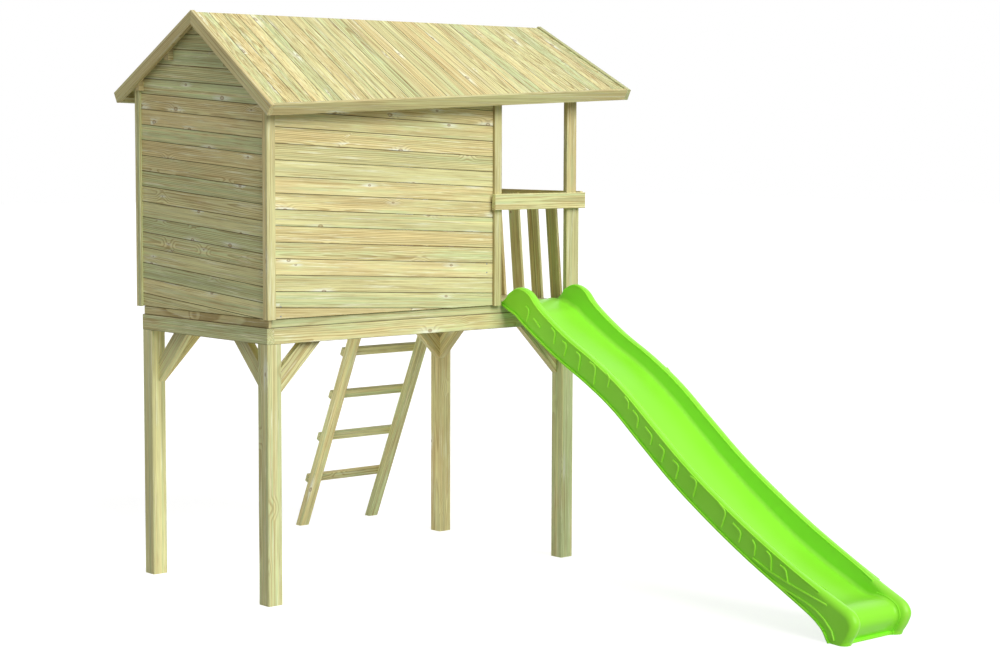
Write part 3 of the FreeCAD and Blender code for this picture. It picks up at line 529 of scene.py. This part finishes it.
def lime_plastic(name, deep, light, form=None):
    """Moulded polyethylene: even lime, a faint pebble in the gloss, a slow change of tone and, given a
    form, painted light on the inner walls.
    """
    material, sheet, shader = new_material(name)
    vector = sheet.add("ShaderNodeTexCoord").outputs["Object"]
    tone = sheet.noise(vector, scale=PLASTIC_TONE_SCALE)
    pebble = sheet.noise(vector, scale=PEBBLE_SCALE)
    waves = sheet.noise(vector, scale=WAVE_SCALE, detail=WAVE_DETAIL)
    colour = sheet.mix(sheet.smooth(tone, *PLASTIC_TONE_FADE), linear(deep), linear(light))
    if form is not None:
        # Painted light: the inner walls paler than the rest of the lime
        colour = sheet.mix(painted_light_wall_share(sheet, vector, form), colour, linear(LIME_PAINTED_LIGHT))
    sheet.put(colour, shader.inputs["Base Color"])
    sheet.put(sheet.smooth(pebble, *PLASTIC_ROUGHNESS), shader.inputs["Roughness"])
    shader.inputs["Specular IOR Level"].default_value = PLASTIC_SPECULAR
    height = sheet.plus(sheet.times(pebble, PEBBLE_HEIGHT), waves)
    add_bump(sheet, shader, height, PLASTIC_BUMP, PLASTIC_BUMP_DEPTH)
    return material


def zinc_plate(name):
    """Bright zinc on screws and bolts, with soft cloudy patches."""
    material, sheet, shader = new_material(name)
    vector = sheet.add("ShaderNodeTexCoord").outputs["Object"]
    patches = sheet.noise(vector, scale=ZINC_PATCH_SCALE, detail=ZINC_PATCH_DETAIL)
    dull = tuple(part * ZINC_DULL_SHARE for part in ZINC)
    sheet.put(sheet.mix(patches, linear(dull), linear(ZINC)), shader.inputs["Base Color"])
    sheet.put(sheet.smooth(patches, *ZINC_ROUGHNESS), shader.inputs["Roughness"])
    shader.inputs["Metallic"].default_value = 1.0
    return material


def dress(name, material):
    """Gives a node of the frame its finish."""
    slots = nodes[name].data.materials
    slots.clear()
    slots.append(material)


def slanted_pine(node, axis, start, slant, first_joint):
    """Wall boards whose joints fall with the slant along one axis, with one joint's height at the start."""
    material, sheet, shader = new_material("pine " + node.replace("_", " "))
    parts = list(sheet.split(sheet.add("ShaderNodeTexCoord").outputs["Object"]))
    low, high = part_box(node)
    run = sheet.minus(parts[axis], start)
    rise = sheet.minus(parts[2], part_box("deck_boards")[1].z + first_joint)
    out = sheet.minus(parts[1 - axis], (low[1 - axis] + high[1 - axis]) / 2)
    along = sheet.minus(sheet.times(run, math.cos(slant)), sheet.times(rise, math.sin(slant)))
    up = sheet.plus(sheet.times(run, math.sin(slant)), sheet.times(rise, math.cos(slant)))
    values = {"Cover": CLADDING_COVER, "Seed": seed_of(node), **SOLID_TIMBER, **WALL_FINISH}
    coat_with_pine(sheet, shader, sheet.point(along, up, out), values)
    dress(node, material)


def finish_cladding():
    """Slanted boards. Every wall's joints fall to the right, as seen from outside."""
    front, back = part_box("cladding_front"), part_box("cladding_back")
    slanted_pine("cladding_front", 0, front[0].x, LONG_WALL_SLANT, LONG_WALL_FIRST_JOINT)
    slanted_pine("cladding_back", 0, back[1].x, -LONG_WALL_SLANT, LONG_WALL_FIRST_JOINT)
    slanted_pine("cladding_left", 1, front[0].y, -GABLE_WALL_SLANT, GABLE_WALL_FIRST_JOINT)
    slanted_pine("cladding_right", 1, back[1].y, GABLE_WALL_SLANT, GABLE_WALL_FIRST_JOINT)


def slope_grain(side, slope):
    """The direction down one roof slope."""
    return (0, -math.cos(slope) if side == FRONT else math.cos(slope), -math.sin(slope))


def finish_roof():
    """Boards and barges run down the slope, fascias and timbers along the ridge."""
    for side in (FRONT, BACK):
        low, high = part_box("roof_boards_" + side)
        cover = (high.x - low.x) / ROOF_BOARD_COUNT
        grain = slope_grain(side, (BARGE_SLOPES[side, LEFT] + BARGE_SLOPES[side, RIGHT]) / 2)
        pine("roof_boards_" + side, grain, ALONG_X, ROOF_FINISH, ROOF_BOARD_COUNT, cover)
        for end in (LEFT, RIGHT):
            grain = slope_grain(side, BARGE_SLOPES[side, end])
            # The barges' lowered tone is painted shade
            pine("barge_" + side + "_" + end, grain, ALONG_X, BARGE_STRETCH_AND_PAINTED_SHADE)
        pine("fascia_" + side, ALONG_X, ALONG_Y, FASCIA_FINISH)
        # The lowered tone of battens, wall plates and purlins is painted shade
        for name in ("eave_batten_", "wall_plate_"):
            pine(name + side, ALONG_X, ALONG_Y, UNDER_ROOF_PAINTED_SHADE)
        pine("purlin_" + side, ALONG_X, ALONG_Y, PURLIN_STREAKS_AND_PAINTED_SHADE)
    pine("ridge_beam", ALONG_X, ALONG_Y)


def finish_platform():
    """Upright legs, slanting braces, and boards along and across the platform."""
    for side in (FRONT, BACK):
        for end in (LEFT, RIGHT):
            pine("leg_" + side + "_" + end, UPRIGHT, ALONG_Y, LEG_FINISH)
        # The rims carry painted shade along their long edges
        pine_with_painted_edge_shade("rim_" + side, ALONG_X)
        pine("braces_" + side, (-1, 0, 1), ALONG_Y, fold=0)
    for end in (LEFT, RIGHT):
        pine_with_painted_edge_shade("rim_" + end, ALONG_Y)
        pine("braces_" + end, (0, -1, 1), ALONG_X, fold=1)
    for name in ("floor_joists", "floor_battens"):
        pine(name, ALONG_Y, ALONG_X)
    # The strips carry painted shade along their long edges
    pine_with_painted_edge_shade("floor_strips_end", ALONG_Y)
    pine_with_painted_edge_shade("floor_strips_long", ALONG_X, LONG_STRIP_FINISH)
    low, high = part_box("deck_boards")
    cover = (high.y - low.y) / DECK_BOARD_COUNT
    pine("deck_boards", ALONG_X, ALONG_Y, DECK_FINISH, DECK_BOARD_COUNT, cover)


def finish_cabin():
    """Wall frames and the trims at the cabin's corners, two to each wall."""
    for wall in (FRONT, BACK, LEFT, RIGHT):
        pine("frame_" + wall, UPRIGHT, ALONG_Y)
    for wall in (FRONT, BACK):
        pine("corner_trims_" + wall, UPRIGHT, ALONG_X, LONG_WALL_TRIM_FINISH, TRIM_COUNT, TRIM_COVER)
    for wall in (LEFT, RIGHT):
        pine("corner_trims_" + wall, UPRIGHT, ALONG_Y, count=TRIM_COUNT, cover=TRIM_COVER)


def finish_terrace():
    """Posts, crossbar and the railing with its leaning slats."""
    for side in (FRONT, BACK):
        pine("terrace_post_lower_" + side, UPRIGHT, ALONG_X, POST_FINISH)
        pine("terrace_post_upper_" + side, UPRIGHT, ALONG_X, POST_FINISH)
    pine("crossbar", ALONG_X, UPRIGHT)
    pine("end_rail", ALONG_Y, UPRIGHT)
    slat_grain = (0, math.sin(SLAT_LEAN), math.cos(SLAT_LEAN))
    cover = SLAT_PITCH * math.cos(SLAT_LEAN)
    # The slats' raised tone is painted light
    pine("end_slats", slat_grain, ALONG_Y, SLAT_PAINTED_LIGHT, SLAT_COUNT, cover)


def finish_bolts():
    """One zinc for all the bolts."""
    plate = zinc_plate("zinc bolts")
    for name in ("brace_bolts", "rim_bolts", "post_bolts"):
        dress(name, plate)


def finish_ladder():
    """Leaning rails and level rungs."""
    rail_grain = (0, -math.sin(LADDER_LEAN), math.cos(LADDER_LEAN))
    for end in (LEFT, RIGHT):
        # The rails' raised tone is painted light
        pine("ladder_rail_" + end, rail_grain, ALONG_X, LADDER_RAIL_PAINTED_LIGHT)
    pine("ladder_rungs", ALONG_X, UPRIGHT, count=RUNG_COUNT, cover=RUNG_PITCH)


# Slide. Each row gives the rim's run and height and the lower flange's run and height, as shares of
# the reach and of the entry height, and the trough's depth as a share of the width
SLIDE_ROW_SHARES = (
    (0.0076, 1.0040, 0.0076, 0.9865, 0.017),
    (0.0305, 1.0396, 0.0275, 0.9694, 0.153),
    (0.0591, 1.0590, 0.0488, 0.9542, 0.260),
    (0.0915, 1.0421, 0.0679, 0.9299, 0.268),
    (0.1278, 0.9856, 0.0961, 0.8980, 0.217),
    (0.2059, 0.9001, 0.1777, 0.8152, 0.185),
    (0.2975, 0.8201, 0.2700, 0.7365, 0.177),
    (0.3814, 0.7335, 0.3509, 0.6556, 0.191),
    (0.4691, 0.6203, 0.4348, 0.5469, 0.198),
    (0.5568, 0.5083, 0.5248, 0.4317, 0.202),
    (0.6522, 0.4031, 0.6217, 0.3252, 0.219),
    (0.7475, 0.3088, 0.7208, 0.2271, 0.234),
    (0.8391, 0.2282, 0.8143, 0.1446, 0.222),
    (0.9153, 0.1660, 0.8867, 0.0811, 0.180),
    (0.9611, 0.1319, 0.9134, 0.0504, 0.078),
    (0.9880, 0.1090, 0.9240, 0.0320, 0.088),
    (0.9990, 0.0790, 0.9310, 0.0120, 0.118),
    (0.9930, 0.0450, 0.9350, 0.0020, 0.135),
    (0.9845, 0.0210, 0.9360, -0.0060, 0.125),
    (0.9810, 0.0120, 0.9365, -0.0100, 0.075),
    (0.9740, -0.0194, 0.9375, -0.0218, 0.065),
)
ROW_STEPS = 5
LIP_STATIONS = 2

# Slide lengths. The rim swells into a round nose at the toe, which the bulb values describe
SLIDE_LIP_LENGTH = 0.060
SLIDE_LIP_HEIGHT = 0.018
SLIDE_LIP_DEPTH = 0.004
SLIDE_REACH = 2.622
SLIDE_WALL = 0.005
SLIDE_RIM_WIDTH = 0.045
SLIDE_RIM_ROUND = 0.022
SLIDE_FLANGE = 0.009
SLIDE_FLANGE_HEIGHT = 0.008
SLIDE_DRAFT = 0.005
SLIDE_FILLET = 0.026
BULB_EXTRA_WIDTH = 0.030
BULB_EXTRA_ROUND = 0.020
BULB_START_SHARE = 0.84
BULB_END_SHARE = 0.93

# Most that the rounds of one section may take, as shares of its depth or height
RIM_DEPTH_SHARE = 0.6
BULB_HEIGHT_SHARE = 0.4
FILLET_DEPTH_SHARE = 0.4
DRAFT_DEPTH_SHARE = 0.1
FLANGE_HEIGHT_SHARE = 0.25

# Points of one section, and how square its rim is. Two is a true round
RIM_POINTS = 12
FILLET_POINTS = 8
FLOOR_POINTS = 4
INNER_SHOULDER_SHARE = 0.6
RIM_SQUARENESS = 2.8
BULB_SQUARENESS = 2.0
SLIDE_SHARP_ANGLE = math.radians(40)

# Raised outlines on the side walls. Each is a path in shares of the flange's run and of the wall's
# height: a start near the rim, a corner and an end near the flange
SIDE_MARK_SHARES = (
    ((0.0691, 0.58), (0.0771, 0.60), (0.0783, 0.19)),
    ((0.0916, 0.54), (0.1020, 0.52), (0.1138, 0.46)),
    ((0.1412, 0.85), (0.1541, 0.82), (0.1591, 0.39)),
    ((0.1792, 0.77), (0.1922, 0.78), (0.1948, 0.31)),
    ((0.2221, 0.80), (0.2341, 0.81), (0.2414, 0.20)),
    ((0.2615, 0.85), (0.2784, 0.89), (0.2883, 0.21)),
    ((0.3064, 0.97), (0.3170, 0.93), (0.3208, 0.59)),
    ((0.3628, 0.87), (0.3744, 0.85), (0.3790, 0.62)),
    ((0.3889, 0.74), (0.4046, 0.75), (0.4110, 0.36)),
    ((0.4247, 0.71), (0.4451, 0.70), (0.4500, 0.34)),
    ((0.4661, 0.69), (0.4807, 0.72), (0.4857, 0.25)),
    ((0.5048, 0.72), (0.5207, 0.78), (0.5261, 0.24)),
    ((0.5511, 0.85), (0.5677, 0.91), (0.5739, 0.29)),
    ((0.6286, 0.93), (0.6492, 0.88), (0.6528, 0.24)),
    ((0.6720, 0.73), (0.6961, 0.70), (0.6985, 0.30)),
    ((0.7240, 0.79), (0.7342, 0.69), (0.7391, 0.32)),
    ((0.7610, 0.84), (0.7736, 0.80), (0.7834, 0.32)),
    ((0.7978, 0.76), (0.8115, 0.79), (0.8251, 0.42)),
)
TOE_LINE_SHARES = (
    ((0.7391, 0.20), (0.7834, 0.26), (0.8251, 0.40), (0.8700, 0.58), (0.9050, 0.74)),
    (
        (0.7900, 0.02), (0.8300, 0.12), (0.8700, 0.27), (0.8960, 0.31), (0.9134, 0.28), (0.9275, 0.25),
        (0.9352, 0.27),
    ),
)
MARK_RADIUS = 0.0052
MARK_OUT = 0.0014
MARK_BEND_STEPS = 5
MARK_START_SHARE = 0.45
MARK_END_SHARE = 0.30

# Slim lines along the rims: below the rim's top or over the flange's edge, and in from the outside as
# shares of the rim's width
EDGE_RADIUS = 0.0034
RIM_LINE_DROP = 0.0095
RIM_LINE_SHARE = 0.025
INNER_LINE_DROP = 0.0060
INNER_LINE_SHARE = 0.940
FLANGE_LINE_SHARE = 0.076
LINE_FIRST_STATION = 6
LINE_END_SHARE = 0.89
BEAD_ROUNDNESS = 2
BEAD_SHARP_ANGLE = math.radians(50)


def smooth_value(values, index, share):
    """Value on a smooth curve through the listed values, a share of the way past one of them."""
    last = len(values) - 1
    before, first, second, after = (values[min(max(index + step, 0), last)] for step in (-1, 0, 1, 2))
    straight = (second - before) * share
    bend = (2 * before - 5 * first + 4 * second - after) * share ** 2
    twist = (3 * first - before - 3 * second + after) * share ** 3
    return first + (straight + bend + twist) / 2


class SlideForm:
    """The places on the slide's outer skin, worked out from the model's box and the rows. A station holds
    the rim's place, the flange's place, the trough's depth and the flange's run, as a share."""

    def __init__(self):
        low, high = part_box("slide")
        self.middle = (low.x + high.x) / 2
        self.half = (high.x - low.x) / 2
        self.start = high.y - SLIDE_LIP_LENGTH
        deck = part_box("deck_boards")[1].z
        self.entry = deck + SLIDE_LIP_HEIGHT
        self.stations = []
        for y in (high.y, self.start):
            self.stations.append((Vector((0, y, self.entry)), Vector((0, y, deck)), SLIDE_LIP_DEPTH, 0.0))
        columns = list(zip(*SLIDE_ROW_SHARES))
        for step in range((len(SLIDE_ROW_SHARES) - 1) * ROW_STEPS + 1):
            index, part = divmod(step, ROW_STEPS)
            row = [smooth_value(column, index, part / ROW_STEPS) for column in columns]
            rim_run, rim_rise, run, rise, depth = row
            rim = Vector((0, self.start - min(rim_run, 1.0) * SLIDE_REACH, rim_rise * self.entry))
            flange = Vector((0, self.start - run * SLIDE_REACH, rise * self.entry))
            self.stations.append((rim, flange, depth * self.half * 2, run))

    def bulb(self, run):
        """The share to which the rim has swollen into the round nose of the toe."""
        past = (run - BULB_START_SHARE) / (BULB_END_SHARE - BULB_START_SHARE)
        past = min(max(past, 0.0), 1.0)
        return past * past * (3 - 2 * past)

    def rim_width(self, bulb):
        """The width of a rim that has swollen by a share."""
        return SLIDE_RIM_WIDTH + BULB_EXTRA_WIDTH * bulb

    def profile(self, height, depth, bulb):
        """Points of half the skin in one section, from the flange's edge to the middle of the trough."""
        rim_width = self.rim_width(bulb)
        half_rim = rim_width / 2
        room = depth * RIM_DEPTH_SHARE * (1 - bulb) + height * BULB_HEIGHT_SHARE * bulb
        rim_round = min(SLIDE_RIM_ROUND + BULB_EXTRA_ROUND * bulb, room)
        squareness = RIM_SQUARENESS + (BULB_SQUARENESS - RIM_SQUARENESS) * bulb
        fillet = min(SLIDE_FILLET, depth * FILLET_DEPTH_SHARE)
        flange_height = min(SLIDE_FLANGE_HEIGHT, height * FLANGE_HEIGHT_SHARE)
        shoulder = height - rim_round
        floor_edge = self.half - rim_width - min(SLIDE_DRAFT, depth * DRAFT_DEPTH_SHARE) - SLIDE_FILLET
        points = [(self.half, 0.0), (self.half, flange_height), (self.half - SLIDE_FLANGE, flange_height)]
        for index in range(RIM_POINTS + 1):
            turn = math.pi * index / RIM_POINTS
            out = math.copysign(abs(math.cos(turn)) ** (2 / squareness), math.cos(turn))
            up = shoulder + rim_round * abs(math.sin(turn)) ** (2 / squareness)
            up = up if out > -INNER_SHOULDER_SHARE else max(up, height - depth + fillet)
            points.append((self.half - half_rim + half_rim * out, up))
        for index in range(FILLET_POINTS + 1):
            turn = -math.pi / 2 * index / FILLET_POINTS
            x = floor_edge + SLIDE_FILLET * math.cos(turn)
            points.append((x, height - depth + fillet + fillet * math.sin(turn)))
        for index in range(1, FLOOR_POINTS + 1):
            points.append((floor_edge * (1 - index / FLOOR_POINTS), height - depth))
        return points

    def skin(self, station):
        """The whole section of one station, from the right flange's edge to the left one's."""
        rim, flange, depth, run = station
        up = (rim - flange).normalized()
        right = self.profile((rim - flange).length, depth, self.bulb(run))
        section = right + [(-x, rise) for x, rise in right[-2::-1]]
        return [Vector((self.middle + x, flange.y, flange.z)) + up * rise for x, rise in section]

    def wall_place(self, run, height_share, side):
        """A place on the outer side wall, which leans in from the flange and turns in at the rim."""
        stations = self.stations[LIP_STATIONS:]
        for before, after in zip(stations, stations[1:]):
            if before[3] <= run <= after[3]:
                break
        share = (run - before[3]) / (after[3] - before[3])
        rim = before[0].lerp(after[0], share)
        flange = before[1].lerp(after[1], share)
        height = (rim - flange).length
        wall = height - SLIDE_RIM_ROUND - SLIDE_FLANGE_HEIGHT
        climb = (height * height_share - SLIDE_FLANGE_HEIGHT) / wall
        over = max((height * height_share - height) / SLIDE_RIM_ROUND + 1, 0.0)
        turned_in = 1 - (1 - over ** RIM_SQUARENESS) ** (1 / RIM_SQUARENESS)
        out = self.half - SLIDE_FLANGE * (1 - min(max(climb, 0.0), 1.0)) + MARK_OUT
        out -= turned_in * SLIDE_RIM_WIDTH / 2
        return flange.lerp(rim, height_share) + Vector((self.middle + side * out, 0, 0))

    def edge_line(self, side, level, inset_share):
        """A line along a rim, at a level over the flange's edge, or below the rim's top if it is negative.
        The inset is a share of the rim's width."""
        line = []
        for rim, flange, _, run in self.stations[LINE_FIRST_STATION:]:
            if run < LINE_END_SHARE:
                start = rim if level < 0 else flange
                inset = self.rim_width(self.bulb(run)) * inset_share
                out = Vector((self.middle + side * (self.half - inset), 0, 0))
                line.append(start + (rim - flange).normalized() * level + out)
        return line


def make_slide(form):
    """The moulded shell: a grid laid over the sections, thickened and cut off at the ground."""
    rows = [form.skin(station) for station in form.stations]
    across, down = len(rows[0]), len(rows)
    bpy.ops.object.select_all(action="DESELECT")
    bpy.ops.mesh.primitive_grid_add(x_subdivisions=across - 1, y_subdivisions=down - 1, size=2)
    shell = bpy.context.active_object
    shell.name = "slide_shell"
    for vertex in shell.data.vertices:
        column = round((vertex.co.x + 1) / 2 * (across - 1))
        row = round((vertex.co.y + 1) / 2 * (down - 1))
        vertex.co = rows[row][column]
    thicken = shell.modifiers.new("wall", "SOLIDIFY")
    thicken.thickness = SLIDE_WALL
    thicken.offset = -1.0
    bpy.ops.object.modifier_apply(modifier=thicken.name)
    bpy.ops.object.mode_set(mode="EDIT")
    bpy.ops.mesh.select_all(action="SELECT")
    bpy.ops.mesh.bisect(plane_co=(0, 0, 0), plane_no=(0, 0, 1), use_fill=True, clear_inner=True)
    bpy.ops.object.mode_set(mode="OBJECT")
    bpy.ops.object.shade_smooth_by_angle(angle=SLIDE_SHARP_ANGLE)
    weigh = shell.modifiers.new("weigh", "WEIGHTED_NORMAL")
    weigh.keep_sharp = True
    bpy.ops.object.modifier_apply(modifier=weigh.name)
    shell.data.materials.append(lime_plastic("moulded lime plastic", LIME, LIME_PALE, form))
    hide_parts("slide")
    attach(shell, "root")


def rounded_corner(start, corner, end):
    """A path from start to end with its corner rounded off."""
    first, last = corner.lerp(start, MARK_START_SHARE), corner.lerp(end, MARK_END_SHARE)
    path = [start]
    for step in range(MARK_BEND_STEPS + 1):
        share = step / MARK_BEND_STEPS
        path.append(first.lerp(corner, share).lerp(corner.lerp(last, share), share))
    return path + [end]


def make_beads(name, paths, radius, plastic):
    """Thin raised lines along the listed paths, as one piece of the slide."""
    wire = bpy.data.curves.new(name, "CURVE")
    wire.dimensions = "3D"
    wire.bevel_depth = radius
    wire.bevel_resolution = BEAD_ROUNDNESS
    wire.use_fill_caps = True
    for path in paths:
        spline = wire.splines.new("POLY")
        spline.points.add(len(path) - 1)
        for point, place in zip(spline.points, path):
            point.co = (*place, 1.0)
    bead = bpy.data.objects.new(name, wire)
    bpy.context.scene.collection.objects.link(bead)
    bpy.ops.object.select_all(action="DESELECT")
    bead.select_set(True)
    bpy.context.view_layer.objects.active = bead
    bpy.ops.object.convert(target="MESH")
    bead = bpy.context.active_object
    bpy.ops.object.shade_smooth_by_angle(angle=BEAD_SHARP_ANGLE)
    bead.data.materials.clear()
    bead.data.materials.append(plastic)
    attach(bead, "root")


def make_relief(form):
    """The raised outlines on both side walls, and the slim edges along the rims and flanges, in a paler
    lime that is painted highlight.
    """
    # Painted highlight: the beads in a paler lime
    plastic = lime_plastic("lime ridges painted as highlight", RIDGE_HIGHLIGHT_LIME, RIDGE_HIGHLIGHT_PALE)
    marks = []
    edges = []
    for side in (-1, 1):
        for mark in SIDE_MARK_SHARES:
            marks.append(rounded_corner(*[form.wall_place(run, rise, side) for run, rise in mark]))
        for line in TOE_LINE_SHARES:
            marks.append([form.wall_place(run, rise, side) for run, rise in line])
        edges.append(form.edge_line(side, -RIM_LINE_DROP, RIM_LINE_SHARE))
        edges.append(form.edge_line(side, -INNER_LINE_DROP, INNER_LINE_SHARE))
        edges.append(form.edge_line(side, SLIDE_FLANGE_HEIGHT, FLANGE_LINE_SHARE))
    make_beads("slide_relief", marks, MARK_RADIUS, plastic)
    make_beads("slide_edges", edges, EDGE_RADIUS, plastic)


# Screws through the ends of two front wall boards, from the wall's end and above its foot
SCREW_INSET = 0.078
SCREW_RISES = {LEFT: (0.011, 0.062), RIGHT: (0.187, 0.236)}
SCREW_RADIUS = 0.0045
SCREW_HEIGHT = 0.0024
SCREW_SIDES = 16
SCREW_ROUND_SHARE = 0.6
SCREW_ROUND_STEPS = 3
SCREW_RECESS_SHARE = 0.45
SCREW_RECESS_DEPTH_SHARE = 0.5
SCREW_FACE_TOLERANCE_SHARE = 0.05
FRONT_NORMAL = -0.9


def make_screws():
    """Pan heads with a rounded edge and a drive recess, one modelled and copied to each place."""
    low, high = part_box("cladding_front")
    ends = {LEFT: low.x + SCREW_INSET, RIGHT: high.x - SCREW_INSET}
    places = []
    for end in (LEFT, RIGHT):
        for rise in SCREW_RISES[end]:
            places.append(Vector((ends[end], low.y, low.z + rise)))
    bpy.ops.object.select_all(action="DESELECT")
    bpy.ops.mesh.primitive_cylinder_add(
        vertices=SCREW_SIDES, radius=SCREW_RADIUS, depth=SCREW_HEIGHT, rotation=(math.radians(90), 0, 0)
    )
    head = bpy.context.active_object
    bpy.ops.object.transform_apply(location=False)
    for face in head.data.polygons:
        face.select = face.normal.y < FRONT_NORMAL
    bpy.ops.object.mode_set(mode="EDIT")
    bpy.ops.mesh.bevel(offset=SCREW_HEIGHT * SCREW_ROUND_SHARE, segments=SCREW_ROUND_STEPS)
    bpy.ops.object.mode_set(mode="OBJECT")
    front = min(vertex.co.y for vertex in head.data.vertices)
    reach = front + SCREW_HEIGHT * SCREW_FACE_TOLERANCE_SHARE
    for face in head.data.polygons:
        face.select = face.normal.y < FRONT_NORMAL and face.center.y < reach
    bpy.ops.object.mode_set(mode="EDIT")
    bpy.ops.mesh.inset(thickness=SCREW_RADIUS * SCREW_RECESS_SHARE)
    bpy.ops.transform.translate(value=(0, SCREW_HEIGHT * SCREW_RECESS_DEPTH_SHARE, 0))
    bpy.ops.object.mode_set(mode="OBJECT")
    plate = zinc_plate("zinc screws")
    for number, place in enumerate(places, 1):
        screw = head if number == len(places) else head.copy()
        if screw is not head:
            screw.data = head.data.copy()
            bpy.context.scene.collection.objects.link(screw)
        screw.name = "wall_screw_" + str(number)
        for vertex in screw.data.vertices:
            vertex.co += place - Vector((0, SCREW_HEIGHT / 2, 0))
        screw.data.materials.append(plate)
        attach(screw, "root")


# Studio. The floor's lift is the light it sheds only where it is seen, which makes it white
FLOOR_SIZE = 120.0
FLOOR_MIDDLE = (1.0, 0.0, 0.0)
FLOOR_ROUGHNESS = 0.9
FLOOR_LIFT = 0.80
WHITE = (1.0, 1.0, 1.0, 1.0)
SKY_LEVEL = 0.33
KEY_STRENGTH = 2.55
KEY_ANGLE = math.radians(42)
KEY_FROM = Vector((-0.06, -1.0, 0.66))
FILL_STRENGTH = 0.55
FILL_ANGLE = math.radians(60)
FILL_FROM = Vector((0.9, 0.7, 0.5))
LOW_POWER = 17.0
LOW_RADIUS = 0.30
LOW_PLACE = Vector((0.80, 0.80, 0.62))


def seen_share(sheet):
    """One for rays from the camera or by way of gloss or glass, and nought for the rest."""
    rays = sheet.add("ShaderNodeLightPath").outputs
    seen = sheet.math("MAXIMUM", rays["Is Camera Ray"], rays["Is Glossy Ray"])
    return sheet.math("MAXIMUM", seen, rays["Is Transmission Ray"])


def make_floor():
    """Pale floor that keeps the object's shadow and shows white round it."""
    bpy.ops.object.select_all(action="DESELECT")
    bpy.ops.mesh.primitive_plane_add(size=FLOOR_SIZE, location=FLOOR_MIDDLE)
    floor = bpy.context.active_object
    floor.name = "studio_floor"
    material, sheet, shader = new_material("studio floor")
    shader.inputs["Base Color"].default_value = linear(FLOOR_GREY)
    shader.inputs["Roughness"].default_value = FLOOR_ROUGHNESS
    shader.inputs["Specular IOR Level"].default_value = 0.0
    shader.inputs["Emission Color"].default_value = WHITE
    sheet.put(sheet.times(seen_share(sheet), FLOOR_LIFT), shader.inputs["Emission Strength"])
    floor.data.materials.append(material)


def make_lamp(name, strength, angle, source):
    """A sun of the given width in the sky, which shines from the direction of its source."""
    light = bpy.data.lights.new(name, "SUN")
    light.energy = strength
    light.angle = angle
    lamp = bpy.data.objects.new(name, light)
    bpy.context.scene.collection.objects.link(lamp)
    lamp.rotation_euler = source.to_track_quat("Z", "Y").to_euler()


def make_low_lamp():
    """A soft lamp under the platform, which lifts the shade on ladder, legs and the slide's side."""
    light = bpy.data.lights.new("low", "POINT")
    light.energy = LOW_POWER
    light.shadow_soft_size = LOW_RADIUS
    lamp = bpy.data.objects.new("low", light)
    bpy.context.scene.collection.objects.link(lamp)
    lamp.location = LOW_PLACE
    lamp.visible_camera = False
    lamp.visible_glossy = False


def make_light():
    """One broad key from the front, a weak fill from behind, a low lamp and an even sky."""
    make_lamp("key", KEY_STRENGTH, KEY_ANGLE, KEY_FROM)
    make_lamp("fill", FILL_STRENGTH, FILL_ANGLE, FILL_FROM)
    make_low_lamp()
    world = bpy.data.worlds.new("studio")
    bpy.context.scene.world = world
    world.use_nodes = True
    world.node_tree.nodes.clear()
    sheet = Sheet(world.node_tree)
    sky = sheet.add("ShaderNodeBackground")
    sky.inputs["Color"].default_value = WHITE
    sheet.put(sheet.smooth(seen_share(sheet), 0.0, 1.0, SKY_LEVEL, 1.0), sky.inputs["Strength"])
    sheet.put(sky.outputs[0], sheet.add("ShaderNodeOutputWorld").inputs[0])


# Camera, fitted to the photograph's frame of 1000 by 667
IMAGE_WIDTH = 1000
FOCAL_PIXELS = 2179.2
SENSOR_WIDTH = 36.0
CAMERA_PLACE = Vector((-6.5894, -9.3744, 2.4806))
CAMERA_YAW = math.radians(41.170)
CAMERA_PITCH = math.radians(5.170)
CAMERA_ROLL = math.radians(0.196)
CAMERA_FAR = 500.0


def make_camera():
    """A level camera turned to the right by the yaw and down by the pitch, then rolled."""
    camera = bpy.data.cameras.new("camera")
    camera.sensor_width = SENSOR_WIDTH
    camera.lens = FOCAL_PIXELS / IMAGE_WIDTH * SENSOR_WIDTH
    camera.clip_end = CAMERA_FAR
    stand = bpy.data.objects.new("camera", camera)
    bpy.context.scene.collection.objects.link(stand)
    stand.location = CAMERA_PLACE
    level = Euler((math.radians(90) - CAMERA_PITCH, 0, -CAMERA_YAW), "XYZ").to_matrix()
    roll = Euler((0, 0, CAMERA_ROLL), "XYZ").to_matrix()
    stand.rotation_euler = (level @ roll).to_euler()
    bpy.context.scene.camera = stand


pine_group = make_pine_group()
finish_cladding()
finish_roof()
finish_platform()
finish_cabin()
finish_terrace()
finish_ladder()
finish_bolts()
slide_form = SlideForm()
make_slide(slide_form)
make_relief(slide_form)
make_screws()
make_floor()
make_light()
make_camera()
bpy.context.scene.view_settings.view_transform = "Standard"
